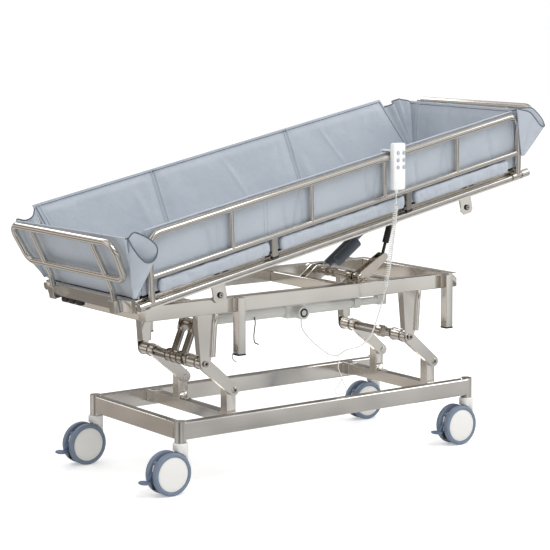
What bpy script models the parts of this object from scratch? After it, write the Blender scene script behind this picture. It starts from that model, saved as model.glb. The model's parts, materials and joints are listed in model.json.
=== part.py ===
# Tilting shower trolley on four braked castors, with a parallelogram lift, a padded tub and fold-down guards.
# Metres, +Z up, +X towards the head end. The near side, which carries the handset, is -Y.
import bpy
import bmesh
import math
from mathutils import Vector, Matrix

for old in list(bpy.data.objects):
    bpy.data.objects.remove(old, do_unlink=True)

# Centre of the base on the floor, seen from the part's own origin
BASE_X = 0.01104
BASE_Y = 0.0141

# General clearances
GAP = 0.0003
RUN = 0.0005
SIDE_PLAY = 0.0015
HOLE_SIDES = 14

# Castors
WHEEL_D = 0.150
WHEEL_STEPS = 20
WHEEL_OUT = 0.035
TYRE_W = 0.0225
HUB_R = 0.061
AXLE_R = 0.0110
TRAIL = 0.050
NECK_R = 0.0270
NECK_LOW = 0.100
WHEEL_PLAY = 0.0035
CHEEK_T = 0.0050
CHEEK_GAP = 0.0100
PEDAL_T = 0.0080
PEDAL_PIN_R = 0.0035
PEDAL_REACH = 0.098
PEDAL_DROP = 0.020
PEDAL_L = 0.038
PEDAL_W = 0.050
PEDAL_PAD_T = 0.010

# Base frame
BASE_L = 1.316
BASE_W = 0.566
POST_D = 0.0424
POST_BOTTOM = 0.1745
POST_TOP = 0.2500
RAIL_W = 0.040
RAIL_H = 0.060
RAIL_TOP = 0.2460
CROSS_H = 0.040
CROSS_W = 0.040
CUFF_L = 0.045
CUFF_T = 0.0030

# Lift linkage
UPRIGHT = 0.040
PIVOT_LEFT = -0.426
PIVOT_RIGHT = 0.500
PIVOT_Z = 0.329
ARM_DX = -0.127
ARM_DZ = 0.108
ARM_R = 0.020
ARM_T = 0.018
NEAR_UPRIGHT_FACE = -0.2580
FAR_UPRIGHT_FACE = 0.0495
PIN_R = 0.007
BOLT_R = 0.0115
BOLT_H = 0.004
TUBE_R = 0.0165
BOSS_R = 0.0225
BOSS_L = 0.070
SEAL_R = 0.0245
SEAL_T = 0.005
LEVER_DX = 0.049
LEVER_DZ = 0.119
LEVER_Y = -0.110
LEVER_PITCH = 0.064
LEVER_R = 0.0135

# Lift frame
FRAME_X0 = -0.800
FRAME_X1 = 0.608
FRAME_OUT = 0.2835
FRAME_W = 0.040
FRAME_H = 0.054
FRAME_TOP = 0.661
LEG = 0.033
LEG_BOTTOM = 0.461
LEG_LEFT = -0.420
LEG_RIGHT = 0.542
SHEET = 0.004
BRACKET_TOP_W = 0.072
BRACKET_LOW_W = 0.048
LIP_R = 0.009

# Height actuator
ACT_Z = 0.556
ACT_X1 = 0.215
ACT_R = 0.0210
ACT_ROD_R = 0.0100
MOTOR_X = -0.050
MOTOR_R = 0.0250
MOTOR_Y = -0.190

# Deck, set out in its own plane: s along it, y across, h square to it
TILT = math.radians(11.6)
DECK_X = -0.847
DECK_Z = 0.664
DECK_L = 1.800
TILT_S = 0.345
TILT_H = -0.060
HOOK_S = 1.512
SIDE_OUT = 0.303
SIDE_T = 0.0175
SIDE_LOW = -0.022
SIDE_HIGH = 0.024
ROD_Y = 0.3160
ROD_R = 0.0075
SLEEVE_R = 0.0120
KNOB_R = 0.015
KNOB_L = 0.038

# Tilt gear
SHAFT_X = 0.185
SHAFT_Z = 0.672
SHAFT_R = 0.0120
CRANK_DX = 0.108
CRANK_DZ = 0.069
LINK_TOP_X = 0.335
LINK_TOP_Z = 0.872
CRANK_Y = -0.215
LUG_HALF = 0.016
TILT_ACT_Y = 0.044
TILT_TOP_X = 0.560
TILT_TOP_Z = 0.916
TILT_ROD_R = 0.0090
TILT_ROOT_DX = 0.030
TILT_ROOT_DZ = 0.002

# Guards
GUARD_R = 0.0125
MID_R = 0.0105
BAR_R = 0.0085
GUARD_LEAN = math.radians(13.0)
GUARD_T = 0.252
MID_T = 0.097
GUARD_S0 = 0.055
GUARD_S1 = 1.770
GUARD_BEND = 0.050
END_STEM_Y = 0.207
END_HALF = 0.350
SOCKET = 0.038

# Padded tub
FLOOR_T = 0.030
WALL_T = 0.010
WALL_SEAT = GUARD_R + GAP
WALL_T0 = 0.030
WALL_TOP = 0.265

# Handset
HAND_S = 1.128
HAND_W = 0.056
HAND_L = 0.172
HAND_T = 0.026
BUTTON_R = 0.0075
BUTTON_TRAVEL = 0.0015

parts = bpy.data.collections.new("shower_trolley")
cutters = bpy.data.collections.new("cutters")
bpy.context.scene.collection.children.link(parts)
bpy.context.scene.collection.children.link(cutters)


def material(name, colour, rough, metal=0.0):
    mat = bpy.data.materials.new(name)
    mat.use_nodes = True
    node = mat.node_tree.nodes["Principled BSDF"]
    node.inputs["Base Color"].default_value = (*colour, 1.0)
    node.inputs["Roughness"].default_value = rough
    node.inputs["Metallic"].default_value = metal
    mat.diffuse_color = (*colour, 1.0)
    return mat


STEEL = ("brushed stainless steel", (0.62, 0.60, 0.57), 0.35, 1.0)
CHROME = ("polished stainless steel", (0.75, 0.73, 0.70), 0.15, 1.0)
SLATE = ("slate blue tyre rubber", (0.14, 0.18, 0.24), 0.6, 0.0)
WHITE = ("off-white plastic", (0.78, 0.79, 0.78), 0.4, 0.0)
BLACK = ("black plastic", (0.03, 0.03, 0.03), 0.5, 0.0)
GREY = ("light grey painted aluminium", (0.62, 0.62, 0.61), 0.4, 0.0)
VINYL = ("blue-grey coated fabric", (0.36, 0.42, 0.50), 0.45, 0.0)


def show(ob, kind):
    """Move a finished mesh to the part's collection with a material of its own."""
    for home in list(ob.users_collection):
        home.objects.unlink(ob)
    parts.objects.link(ob)
    ob.data.materials.clear()
    ob.data.materials.append(material(ob.name + " " + kind[0], *kind[1:]))
    ob.hide_render = False
    ob.display_type = "TEXTURED"
    return ob


def keep(name, bm):
    mesh = bpy.data.meshes.new(name)
    bm.to_mesh(mesh)
    bm.free()
    ob = bpy.data.objects.new(name, mesh)
    cutters.objects.link(ob)
    ob.hide_render = True
    ob.display_type = "WIRE"
    return ob


def bake(ob):
    graph = bpy.context.evaluated_depsgraph_get()
    mesh = bpy.data.meshes.new_from_object(ob.evaluated_get(graph))
    ob.modifiers.clear()
    ob.data = mesh
    return ob


def box(name, x0, x1, y0, y1, z0, z1, bevel=0.0, seg=1):
    bm = bmesh.new()
    bmesh.ops.create_cube(bm, size=1.0)
    bmesh.ops.scale(bm, vec=(x1 - x0, y1 - y0, z1 - z0), verts=bm.verts)
    bmesh.ops.translate(bm, vec=((x0 + x1) / 2, (y0 + y1) / 2, (z0 + z1) / 2), verts=bm.verts)
    ob = keep(name, bm)
    if bevel:
        mod = ob.modifiers.new("Rounded edges", "BEVEL")
        mod.width = bevel
        mod.segments = seg
        bake(ob)
    return ob


def rod(name, a, b, r, seg=16, r2=None):
    a, b = Vector(a), Vector(b)
    bm = bmesh.new()
    bmesh.ops.create_cone(bm, cap_ends=True, cap_tris=False, segments=seg, radius1=r,
                          radius2=r if r2 is None else r2, depth=(b - a).length)
    turn = Vector((0, 0, 1)).rotation_difference(b - a).to_matrix().to_4x4()
    bmesh.ops.transform(bm, matrix=Matrix.Translation((a + b) / 2) @ turn, verts=bm.verts)
    return keep(name, bm)


def curve_mesh(name, curve):
    ob = bpy.data.objects.new(name + " curve", curve)
    cutters.objects.link(ob)
    bpy.context.view_layer.update()
    graph = bpy.context.evaluated_depsgraph_get()
    mesh = bpy.data.meshes.new_from_object(ob.evaluated_get(graph))
    bm = bmesh.new()
    bm.from_mesh(mesh)
    bmesh.ops.remove_doubles(bm, verts=bm.verts, dist=0.00001)
    bmesh.ops.recalc_face_normals(bm, faces=bm.faces)
    bpy.data.objects.remove(ob, do_unlink=True)
    return keep(name, bm)


def tube(name, points, r, res=3, closed=False):
    curve = bpy.data.curves.new(name, "CURVE")
    curve.dimensions = "3D"
    curve.bevel_depth = r
    curve.bevel_resolution = res
    curve.render_resolution_u = 0
    curve.use_fill_caps = True
    line = curve.splines.new("POLY")
    line.points.add(len(points) - 1)
    for point, place in zip(line.points, points):
        point.co = (*place, 1.0)
    line.use_cyclic_u = closed
    return curve_mesh(name, curve)


def plate(name, outline, holes, y0, y1):
    """A flat outline in the XZ plane with round holes, from y0 to y1."""
    curve = bpy.data.curves.new(name, "CURVE")
    curve.dimensions = "2D"
    curve.fill_mode = "BOTH"
    curve.extrude = (y1 - y0) / 2
    curve.render_resolution_u = 0
    loops = [outline] + [circle(c, across_flats(r, HOLE_SIDES), HOLE_SIDES) for c, r in holes]
    for loop in loops:
        line = curve.splines.new("POLY")
        line.points.add(len(loop) - 1)
        for point, place in zip(line.points, loop):
            point.co = (place[0], place[1], 0.0, 1.0)
        line.use_cyclic_u = True
    ob = curve_mesh(name, curve)
    stand = Matrix.Translation((0, (y0 + y1) / 2, 0)) @ Matrix.Rotation(math.radians(90), 4, "X")
    ob.data.transform(stand)
    return ob


def across_flats(r, seg):
    """Corner radius of a many-sided hole that a round pin of radius r still turns in."""
    return r / math.cos(math.pi / seg)


def circle(centre, r, seg=12):
    steps = [2 * math.pi * k / seg for k in range(seg)]
    return [(centre[0] + r * math.cos(a), centre[1] + r * math.sin(a)) for a in steps]


def capsule(a, b, ra, rb, seg=6):
    """Outline of a bar with round ends of radius ra at a and rb at b."""
    a, b = Vector(a), Vector(b)
    along = math.atan2(b.y - a.y, b.x - a.x)
    turn = math.acos((ra - rb) / (b - a).length)
    out = []
    for k in range(seg + 1):
        ang = along - turn + 2 * turn * k / seg
        out.append((b.x + rb * math.cos(ang), b.y + rb * math.sin(ang)))
    for k in range(seg + 1):
        ang = along + turn + (2 * math.pi - 2 * turn) * k / seg
        out.append((a.x + ra * math.cos(ang), a.y + ra * math.sin(ang)))
    return out


def combine(ob, others, operation="UNION"):
    for k, other in enumerate(others):
        mod = ob.modifiers.new("Boolean " + str(k), "BOOLEAN")
        mod.operation = operation
        mod.solver = "EXACT"
        mod.object = other
    bpy.context.view_layer.update()
    bake(ob)
    for other in others:
        bpy.data.objects.remove(other, do_unlink=True)
    return ob


def rounded(points, radius, closed=False, steps=4):
    """Points of a bent tube: straight runs with a round bend at each inner corner."""
    points = [Vector(p) for p in points]
    count = len(points)
    out = []
    for k in range(count):
        if not closed and k in (0, count - 1):
            out.append(points[k])
            continue
        here = points[k]
        before = (points[k - 1] - here).normalized()
        after = (points[(k + 1) % count] - here).normalized()
        half = before.angle(after) / 2
        back = radius / math.tan(half)
        centre = here + (before + after).normalized() * (radius / math.sin(half))
        start = here + before * back - centre
        end = here + after * back - centre
        for i in range(steps + 1):
            out.append(centre + start.slerp(end, i / steps).normalized() * radius)
    return out


def smooth(points, spacing):
    """Evenly spaced points on a Catmull-Rom curve through the route's own points."""
    pts = [Vector(p) for p in points]
    pts = [2 * pts[0] - pts[1]] + pts + [2 * pts[-1] - pts[-2]]
    fine = []
    for i in range(1, len(pts) - 2):
        for j in range(24):
            t = j / 24
            a, b, c, d = pts[i - 1], pts[i], pts[i + 1], pts[i + 2]
            fine.append(0.5 * (2 * b + (c - a) * t + (2 * a - 5 * b + 4 * c - d) * t ** 2
                               + (3 * b - a - 3 * c + d) * t ** 3))
    fine.append(pts[-2])
    out = [fine[0]]
    total = sum((q - p).length for p, q in zip(fine, fine[1:]))
    count = max(2, round(total / spacing))
    travelled = 0.0
    for p, q in zip(fine, fine[1:]):
        travelled += (q - p).length
        if travelled >= total / count * len(out) - 1e-9 and len(out) < count:
            out.append(q)
    out.append(fine[-1])
    return out


def soften(ob, angle=35):
    ob.data.shade_smooth()
    ob.data.set_sharp_from_angle(angle=math.radians(angle))
    return ob


def axis(name, place, parent=None, turn=0.0):
    ob = bpy.data.objects.new(name, None)
    ob.empty_display_size = 0.05
    ob.location = place
    ob.rotation_euler = (0.0, turn, 0.0)
    ob.parent = parent
    parts.objects.link(ob)
    return ob


def put(ob, kind, parent, origin=(0.0, 0.0, 0.0), smooth_it=True):
    """Give a solid its material, its origin and its parent; the mesh stays where it is."""
    show(ob, kind)
    ob.data.transform(Matrix.Translation(-Vector(origin)))
    ob.location = origin
    ob.parent = parent
    if smooth_it:
        soften(ob)
    return ob


base = axis("base_centre", (BASE_X, BASE_Y, 0.0))

# Base frame: two long rails with their corner posts, an end rail and two inner cross rails
rail_y = BASE_W / 2
rail_end = BASE_L / 2
for side, sign in (("near", -1), ("far", 1)):
    y = sign * rail_y
    rail = box("base_rail_" + side, -rail_end, rail_end, y - RAIL_W / 2, y + RAIL_W / 2,
               RAIL_TOP - RAIL_H, RAIL_TOP, 0.003)
    posts = []
    for x in (-rail_end, rail_end):
        posts.append(rod("post", (x, y, POST_BOTTOM), (x, y, POST_TOP), POST_D / 2))
    put(combine(rail, posts), STEEL, base)

inner_y = rail_y - RAIL_W / 2 - GAP
put(box("base_end_rail", -rail_end - RAIL_W / 2 + 0.004, -rail_end + RAIL_W / 2 - 0.004,
        -rail_y + POST_D / 2 + GAP, rail_y - POST_D / 2 - GAP, RAIL_TOP - RAIL_H, RAIL_TOP, 0.003),
    STEEL, base)

near_arm = (NEAR_UPRIGHT_FACE - SIDE_PLAY - ARM_T, NEAR_UPRIGHT_FACE - SIDE_PLAY)
far_arm = (FAR_UPRIGHT_FACE - SIDE_PLAY - ARM_T, FAR_UPRIGHT_FACE - SIDE_PLAY)
for end, x in (("left", PIVOT_LEFT), ("right", PIVOT_RIGHT)):
    cross = box("base_cross_" + end, x - CROSS_W / 2, x + CROSS_W / 2, -inner_y, inner_y,
                RAIL_TOP - CROSS_H, RAIL_TOP, 0.002)
    extras = [box("cuff", x - CROSS_W / 2 - CUFF_T, x + CROSS_W / 2 + CUFF_T, inner_y - CUFF_L,
                  inner_y, RAIL_TOP - CROSS_H - CUFF_T, RAIL_TOP + CUFF_T, 0.0015, 1)]
    for face, arm in ((NEAR_UPRIGHT_FACE, near_arm), (FAR_UPRIGHT_FACE, far_arm)):
        extras.append(box("upright", x - UPRIGHT / 2, x + UPRIGHT / 2, face, face + UPRIGHT,
                          RAIL_TOP - CROSS_H / 2, PIVOT_Z + ARM_R + 0.001, 0.002))
        extras.append(rod("pin", (x, arm[0] - RUN, PIVOT_Z), (x, face + 0.01, PIVOT_Z), PIN_R, 16))
        extras.append(rod("head", (x, arm[0] - RUN - BOLT_H, PIVOT_Z), (x, arm[0] - RUN, PIVOT_Z),
                          BOLT_R * 0.8, 14, BOLT_R))
    foot = RAIL_TOP - 0.002
    extras.append(box("foot bracket", x - 0.014, x + 0.014, FAR_UPRIGHT_FACE - 0.032,
                      FAR_UPRIGHT_FACE + 0.002, foot, foot + 0.006))
    extras.append(box("foot bracket", x - 0.014, x + 0.014, FAR_UPRIGHT_FACE - 0.005,
                      FAR_UPRIGHT_FACE + 0.002, foot, foot + 0.030))
    put(combine(cross, extras), STEEL, base)


# Castors: a swivel fork with two cheeks, twin wheels on one axle, and a brake pedal between them
def castor(tag, x, y):
    swivel = axis("castor_swivel_" + tag, (x, y, 0.0), base)
    wheel_z = WHEEL_D / 2
    wheel_x = -TRAIL
    pin_x = wheel_x - 0.030
    pin_z = wheel_z + 0.034
    crown = WHEEL_D + 0.006
    out = CHEEK_GAP / 2 + CHEEK_T
    core = [(0.068, 0.020), (0.068, crown - 0.004 - wheel_z), (0.034, crown - 0.004 - wheel_z), (0.028, 0.062),
            (0.004, 0.049), (-0.034, 0.047), (-0.056, 0.032), (-0.062, 0.006), (-0.056, -0.020),
            (-0.036, -0.029), (-0.010, -0.022), (0.012, -0.020), (0.034, 0.004)]
    cheek = [(wheel_x + dx, wheel_z + dz) for dx, dz in core]
    fork = plate("castor_fork_" + tag, cheek, [((wheel_x, wheel_z), AXLE_R + RUN)], -out, out)
    slot = box("slot", pin_x - 0.060, wheel_x + 0.020, -CHEEK_GAP / 2, CHEEK_GAP / 2,
               0.0, crown - 0.014)
    combine(fork, [slot], "DIFFERENCE")
    neck = rod("neck", (0, 0, NECK_LOW), (0, 0, POST_BOTTOM - GAP - 0.003), NECK_R, 20)
    collar = rod("collar", (0, 0, POST_BOTTOM - GAP - 0.003), (0, 0, POST_BOTTOM - GAP), NECK_R, 20, NECK_R - 0.003)
    wheel_room = rod("wheel room", (wheel_x, -0.05, wheel_z), (wheel_x, 0.05, wheel_z), wheel_z + WHEEL_PLAY, 32)
    combine(neck, [collar])
    combine(neck, [wheel_room], "DIFFERENCE")
    pin = rod("pin", (pin_x, -out + 0.001, pin_z), (pin_x, out - 0.001, pin_z), PEDAL_PIN_R, 12)
    put(combine(fork, [neck, pin]), WHITE, swivel)

    rim = WHEEL_D / 2
    o = WHEEL_OUT
    inner = o - TYRE_W
    edge = [(AXLE_R * 1.5, o - 0.001), (HUB_R - 0.004, o - 0.0045),
            (HUB_R, o - 0.001), (HUB_R + 0.006, o),
            (rim, o - 0.008), (rim, inner + 0.005), (rim - 0.005, inner), (AXLE_R + 0.006, inner)]
    edge.append((AXLE_R, inner - 0.001))
    profile = edge + [(r, -w) for r, w in reversed(edge)]
    profile = [(0.0, o - 0.001)] + profile + [(0.0, -(o - 0.001))]
    bm = bmesh.new()
    verts = [bm.verts.new((r, w, 0.0)) for r, w in profile]
    for p, q in zip(verts, verts[1:]):
        bm.edges.new((p, q))
    wheel = keep("castor_wheel_" + tag, bm)
    screw = wheel.modifiers.new("Turned", "SCREW")
    screw.axis = "Y"
    screw.steps = WHEEL_STEPS
    screw.render_steps = WHEEL_STEPS
    screw.use_merge_vertices = True
    screw.merge_threshold = 0.0001
    bake(wheel)
    bm = bmesh.new()
    bm.from_mesh(wheel.data)
    bmesh.ops.remove_doubles(bm, verts=bm.verts, dist=0.00001)
    bmesh.ops.recalc_face_normals(bm, faces=bm.faces)
    bm.to_mesh(wheel.data)
    bm.free()
    flat = across_flats(1.0, WHEEL_STEPS)
    wheel.data.transform(Matrix.Translation((wheel_x, 0.0, wheel_z))
                         @ Matrix.Rotation(math.pi / WHEEL_STEPS, 4, "Y") @ Matrix.Diagonal((flat, 1.0, flat, 1.0)))
    put(wheel, SLATE, swivel, (wheel_x, 0.0, wheel_z))

    tip_x = wheel_x - PEDAL_REACH
    tip_z = wheel_z - PEDAL_DROP
    arm = plate("castor_pedal_" + tag, capsule((pin_x, pin_z), (tip_x + 0.006, tip_z), 0.008, 0.0045),
                [((pin_x, pin_z), PEDAL_PIN_R + GAP)], -PEDAL_T / 2, PEDAL_T / 2)
    pad = rod("pad", (0, 0, -PEDAL_PAD_T / 2), (0, 0, PEDAL_PAD_T / 2), 0.5, 20)
    edge = pad.modifiers.new("Round rim", "BEVEL")
    pad.data.transform(Matrix.Diagonal((PEDAL_L, PEDAL_W, 1.0, 1.0)))
    edge.width = PEDAL_PAD_T * 0.3
    edge.segments = 1
    bake(pad)
    pad.data.transform(Matrix.Translation((tip_x, 0.0, tip_z)))
    put(combine(arm, [pad]), SLATE, swivel, (pin_x, 0.0, pin_z))


castor("foot_near", -rail_end, -rail_y)
castor("foot_far", -rail_end, rail_y)
castor("head_near", rail_end, -rail_y)
castor("head_far", rail_end, rail_y)

# Lift linkage: two pairs of parallel arms, each pair on its own torque tube
bracket_near = (near_arm[0] - RUN - 0.0015 - SHEET, near_arm[0] - RUN - 0.0015)
boss_far_end = far_arm[1] + BOSS_L
bracket_far = (boss_far_end + 0.004, boss_far_end + 0.004 + SHEET)
tube_y0 = bracket_near[1] + RUN
tube_y1 = bracket_far[0] - RUN
for end, x in (("left", PIVOT_LEFT), ("right", PIVOT_RIGHT)):
    top_x = x + ARM_DX
    top_z = PIVOT_Z + ARM_DZ
    for side, arm in (("near", near_arm), ("far", far_arm)):
        bar = plate("lift_arm_" + end + "_" + side,
                    capsule((top_x, top_z), (x, PIVOT_Z), BOSS_R, ARM_R),
                    [((x, PIVOT_Z), PIN_R + GAP)], arm[0], arm[1])
        boss = rod("boss", (top_x, arm[1] - 0.002, top_z), (top_x, arm[1] + BOSS_L, top_z),
                   BOSS_R - 0.0007)
        seals = [boss]
        for y in (arm[1] + 0.010, arm[1] + BOSS_L - SEAL_T - 0.001):
            seals.append(rod("seal", (top_x, y, top_z), (top_x, y + SEAL_T, top_z), SEAL_R))
        combine(bar, seals)
        bore = rod("bore", (top_x, arm[0] - 0.01, top_z), (top_x, arm[1] + BOSS_L + 0.01, top_z),
                   TUBE_R + GAP)
        combine(bar, [bore], "DIFFERENCE")
        put(bar, STEEL, base, (x, 0.0, PIVOT_Z))
    shaft = rod("lift_tube_" + end, (top_x, tube_y0, top_z), (top_x, tube_y1, top_z), TUBE_R)
    if end == "right":
        more = [rod("ring", (top_x, LEVER_Y - 0.02, top_z), (top_x, LEVER_Y + 0.005, top_z), BOSS_R)]
    else:
        pull = (top_x + LEVER_DX, top_z + LEVER_DZ)
        hub_half = LEVER_PITCH / 2 + 0.024
        more = [rod("hub", (top_x, LEVER_Y - hub_half, top_z), (top_x, LEVER_Y + hub_half, top_z), BOSS_R)]
        for y in (LEVER_Y - LEVER_PITCH / 2, LEVER_Y + LEVER_PITCH / 2):
            more.append(rod("stem", (top_x, y, top_z),
                            (pull[0] - LEVER_DX * 0.10, y, pull[1] - LEVER_DZ * 0.10), LEVER_R, 14))
            more.append(plate("eye", capsule(pull, (pull[0] - LEVER_DX * 0.2, pull[1] - LEVER_DZ * 0.2),
                                             0.016, 0.013), [], y - LEVER_R, y + LEVER_R))
        for k in (-1.0, -0.34, 0.34, 1.0):
            y = LEVER_Y + k * (hub_half - SEAL_T / 2)
            more.append(rod("collar", (top_x, y - SEAL_T / 2, top_z), (top_x, y + SEAL_T / 2, top_z), SEAL_R))
    put(combine(shaft, more), CHROME, base, (top_x, 0.0, top_z))

# Lift frame: side rails with their short legs, hanging brackets, pivot lugs and cross rails
frame_low = FRAME_TOP - FRAME_H
pivot_x = DECK_X + TILT_S * math.cos(TILT) - TILT_H * math.sin(TILT)
pivot_z = DECK_Z + TILT_S * math.sin(TILT) + TILT_H * math.cos(TILT)


def bracket(name, x, y0, y1, z_top, inward):
    """Tapered folded hanger: a front sheet, a turned-in edge to the foot side and a rolled lip."""
    pin_z = PIVOT_Z + ARM_DZ
    low = [(x + 0.020 * math.cos(math.radians(a)), pin_z + 0.020 * math.sin(math.radians(a)))
           for a in range(180, 361, 14)]
    front = low + [(x + BRACKET_LOW_W - 0.020, pin_z + 0.03),
                   (x + BRACKET_TOP_W - 0.022, z_top), (x - 0.034, z_top)]
    sheet = plate(name, front, [], y0, y1)
    deep = 0.026 * inward
    edge_y = (min(y0, y0 + deep), max(y1, y1 + deep))
    fold = plate("fold", [(x - 0.0205, pin_z + 0.030), (x - 0.0165, pin_z + 0.030), (x - 0.0305, z_top),
                          (x - 0.0345, z_top)], [], edge_y[0], edge_y[1])
    lip_y = y0 - 0.0035 if inward > 0 else y1 + 0.0035
    lip = tube("lip", [(x + BRACKET_LOW_W - 0.019, lip_y, pin_z + 0.022),
                       (x + BRACKET_LOW_W - 0.012, lip_y, z_top - 0.045),
                       (x + BRACKET_TOP_W - 0.030, lip_y, z_top)], LIP_R, 2)
    head = rod("head", (x, y0 - BOLT_H, pin_z), (x, y0 + 0.001, pin_z), BOLT_R * 0.8, 14, BOLT_R)
    if inward < 0:
        head.data.transform(Matrix.Translation((0, y1 - y0 + BOLT_H - 0.001, 0)))
    return [sheet, fold, lip, head]


frame_parts = {}
for side, sign in (("near", -1), ("far", 1)):
    y_out = sign * FRAME_OUT
    y_in = sign * (FRAME_OUT - FRAME_W)
    rail = box("frame_rail_" + side, FRAME_X0, FRAME_X1, min(y_out, y_in), max(y_out, y_in),
               frame_low, FRAME_TOP, 0.003)
    extras = []
    for x in (LEG_LEFT, LEG_RIGHT):
        y0, y1 = sorted((y_out - sign * 0.001, y_out + sign * LEG))
        extras.append(box("leg", x - LEG / 2, x + LEG / 2, y0, y1, LEG_BOTTOM, FRAME_TOP - 0.0005, 0.002))
    lug_y = sorted((sign * (FRAME_OUT - 0.003), sign * (FRAME_OUT - 0.013)))
    lug = [(pivot_x - 0.022, FRAME_TOP - 0.002), (pivot_x + 0.022, FRAME_TOP - 0.002)]
    lug += [(pivot_x + 0.0145 * math.cos(math.radians(a)), pivot_z + 0.0145 * math.sin(math.radians(a)))
            for a in range(0, 181, 14)]
    extras.append(plate("lug", lug, [((pivot_x, pivot_z), PIN_R + RUN)], lug_y[0], lug_y[1]))
    if side == "near":
        for x in (PIVOT_LEFT + ARM_DX, PIVOT_RIGHT + ARM_DX):
            pieces = bracket("bracket", x, bracket_near[0], bracket_near[1], frame_low + 0.002, 1)
            extras += pieces
    put(combine(rail, extras), STEEL, base, (PIVOT_LEFT + ARM_DX, 0.0, PIVOT_Z + ARM_DZ))

cross_y = FRAME_OUT - FRAME_W - GAP
for name, x0, x1, z0 in (("frame_cross_foot", FRAME_X0, FRAME_X0 + FRAME_W, frame_low),
                         ("frame_cross_left", PIVOT_LEFT + ARM_DX - 0.020, PIVOT_LEFT + ARM_DX + 0.020,
                          frame_low + 0.014),
                         ("frame_cross_right", PIVOT_RIGHT + ARM_DX - 0.020,
                          PIVOT_RIGHT + ARM_DX + 0.020, frame_low + 0.014),
                         ("frame_cross_head", FRAME_X1 - FRAME_W, FRAME_X1, frame_low)):
    top = FRAME_TOP if z0 == frame_low else FRAME_TOP - 0.014
    cross = box(name, x0, x1, -cross_y, cross_y, z0, top, 0.003)
    if name in ("frame_cross_left", "frame_cross_right"):
        x = (x0 + x1) / 2
        combine(cross, bracket("bracket", x, bracket_far[0], bracket_far[1], z0 + 0.002, -1))
    put(cross, STEEL, base, (PIVOT_LEFT + ARM_DX, 0.0, PIVOT_Z + ARM_DZ))

# Middle cross rail with the cheeks that carry the tilt shaft and the tail of the tilt actuator
mid_x = SHAFT_X - 0.055
mid = box("frame_cross_mid", mid_x - 0.020, mid_x + 0.020, -cross_y, cross_y, frame_low, FRAME_TOP - 0.014, 0.003)
cheeks = []
tail = (SHAFT_X + TILT_ROOT_DX, SHAFT_Z + TILT_ROOT_DZ)
for y, reach in ((-0.190, (SHAFT_X, SHAFT_Z)), (TILT_ACT_Y - 0.0175, tail), (TILT_ACT_Y + 0.0175, tail)):
    form = [(mid_x - 0.016, FRAME_TOP - 0.030), (mid_x + 0.020, FRAME_TOP - 0.045), (reach[0] + 0.010, reach[1] - 0.017),
            (reach[0] + 0.018, reach[1] + 0.002), (reach[0] + 0.008, reach[1] + 0.018),
            (SHAFT_X - 0.014, SHAFT_Z + 0.018), (mid_x - 0.016, FRAME_TOP - 0.014)]
    cheeks.append(plate("cheek", form, [((SHAFT_X, SHAFT_Z), SHAFT_R + RUN)], y - 0.003, y + 0.003))
cheeks.append(rod("tail pin", (tail[0], TILT_ACT_Y - 0.0185, tail[1]), (tail[0], TILT_ACT_Y + 0.0185, tail[1]),
                  PIN_R - RUN, 16))
put(combine(mid, cheeks), STEEL, base, (PIVOT_LEFT + ARM_DX, 0.0, PIVOT_Z + ARM_DZ))

# Height actuator: a motor and housing hung from the frame, and a sliding rod to the lever pair
mount_y = LEVER_Y
act_x0 = MOTOR_X - 0.350
housing = rod("lift_actuator", (act_x0, mount_y, ACT_Z), (ACT_X1, mount_y, ACT_Z), ACT_R, 16)
extras = [box("gearbox", MOTOR_X - 0.045, MOTOR_X + 0.050, mount_y - 0.030, mount_y + 0.028,
              ACT_Z - 0.026, ACT_Z + 0.026, 0.008),
          rod("motor neck", (MOTOR_X - 0.012, mount_y - 0.020, ACT_Z), (MOTOR_X - 0.004, mount_y - 0.050, ACT_Z),
              0.020, 24, MOTOR_R),
          rod("motor", (MOTOR_X - 0.004, mount_y - 0.0495, ACT_Z), (MOTOR_X - 0.004, MOTOR_Y, ACT_Z),
              MOTOR_R, 18)]
hang_x = PIVOT_RIGHT + ARM_DX
extras.append(rod("nose", (ACT_X1 - 0.002, mount_y, ACT_Z), (hang_x - 0.022, mount_y, ACT_Z), 0.014, 14))
extras.append(box("end block", ACT_X1 + 0.018, ACT_X1 + 0.048, mount_y - 0.020, mount_y + 0.020,
                  ACT_Z - 0.018, ACT_Z + 0.018, 0.004))
extras.append(box("hanger", hang_x - 0.024, hang_x + 0.018, mount_y - 0.016, mount_y + 0.016,
                  ACT_Z - 0.016, frame_low + 0.014 - GAP, 0.003))
combine(housing, extras)
combine(housing, [rod("bore", (act_x0 - 0.01, mount_y, ACT_Z), (MOTOR_X - 0.06, mount_y, ACT_Z),
                      ACT_ROD_R + RUN)], "DIFFERENCE")
put(housing, GREY, base, (hang_x, mount_y, ACT_Z))
ram = rod("lift_actuator_rod", (pull[0] + 0.004, LEVER_Y, pull[1]), (MOTOR_X - 0.180, LEVER_Y, ACT_Z), ACT_ROD_R, 14)
eye_half = LEVER_PITCH / 2 - LEVER_R - SIDE_PLAY
eye = rod("eye", (pull[0], LEVER_Y - eye_half, pull[1]), (pull[0], LEVER_Y + eye_half, pull[1]), 0.015, 14)
put(combine(ram, [eye]), CHROME, base, (pull[0], LEVER_Y, pull[1]))

# Deck, built flat in its own plane about the tilt pivot
deck = axis("tilt_axis", (pivot_x, 0.0, pivot_z), base, -TILT)


def d(s, y, h):
    """A place in the deck's plane, seen from the tilt pivot."""
    return (s - TILT_S, y, h - TILT_H)


def deck_box(name, s0, s1, y0, y1, h0, h1, bevel=0.0, seg=1):
    return box(name, s0 - TILT_S, s1 - TILT_S, y0, y1, h0 - TILT_H, h1 - TILT_H, bevel, seg)


def to_deck(x, z):
    """A place of the tilted photograph pose, in the deck's plane from the pivot."""
    dx = x - pivot_x
    dz = z - pivot_z
    return (dx * math.cos(TILT) + dz * math.sin(TILT), -dx * math.sin(TILT) + dz * math.cos(TILT))


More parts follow.
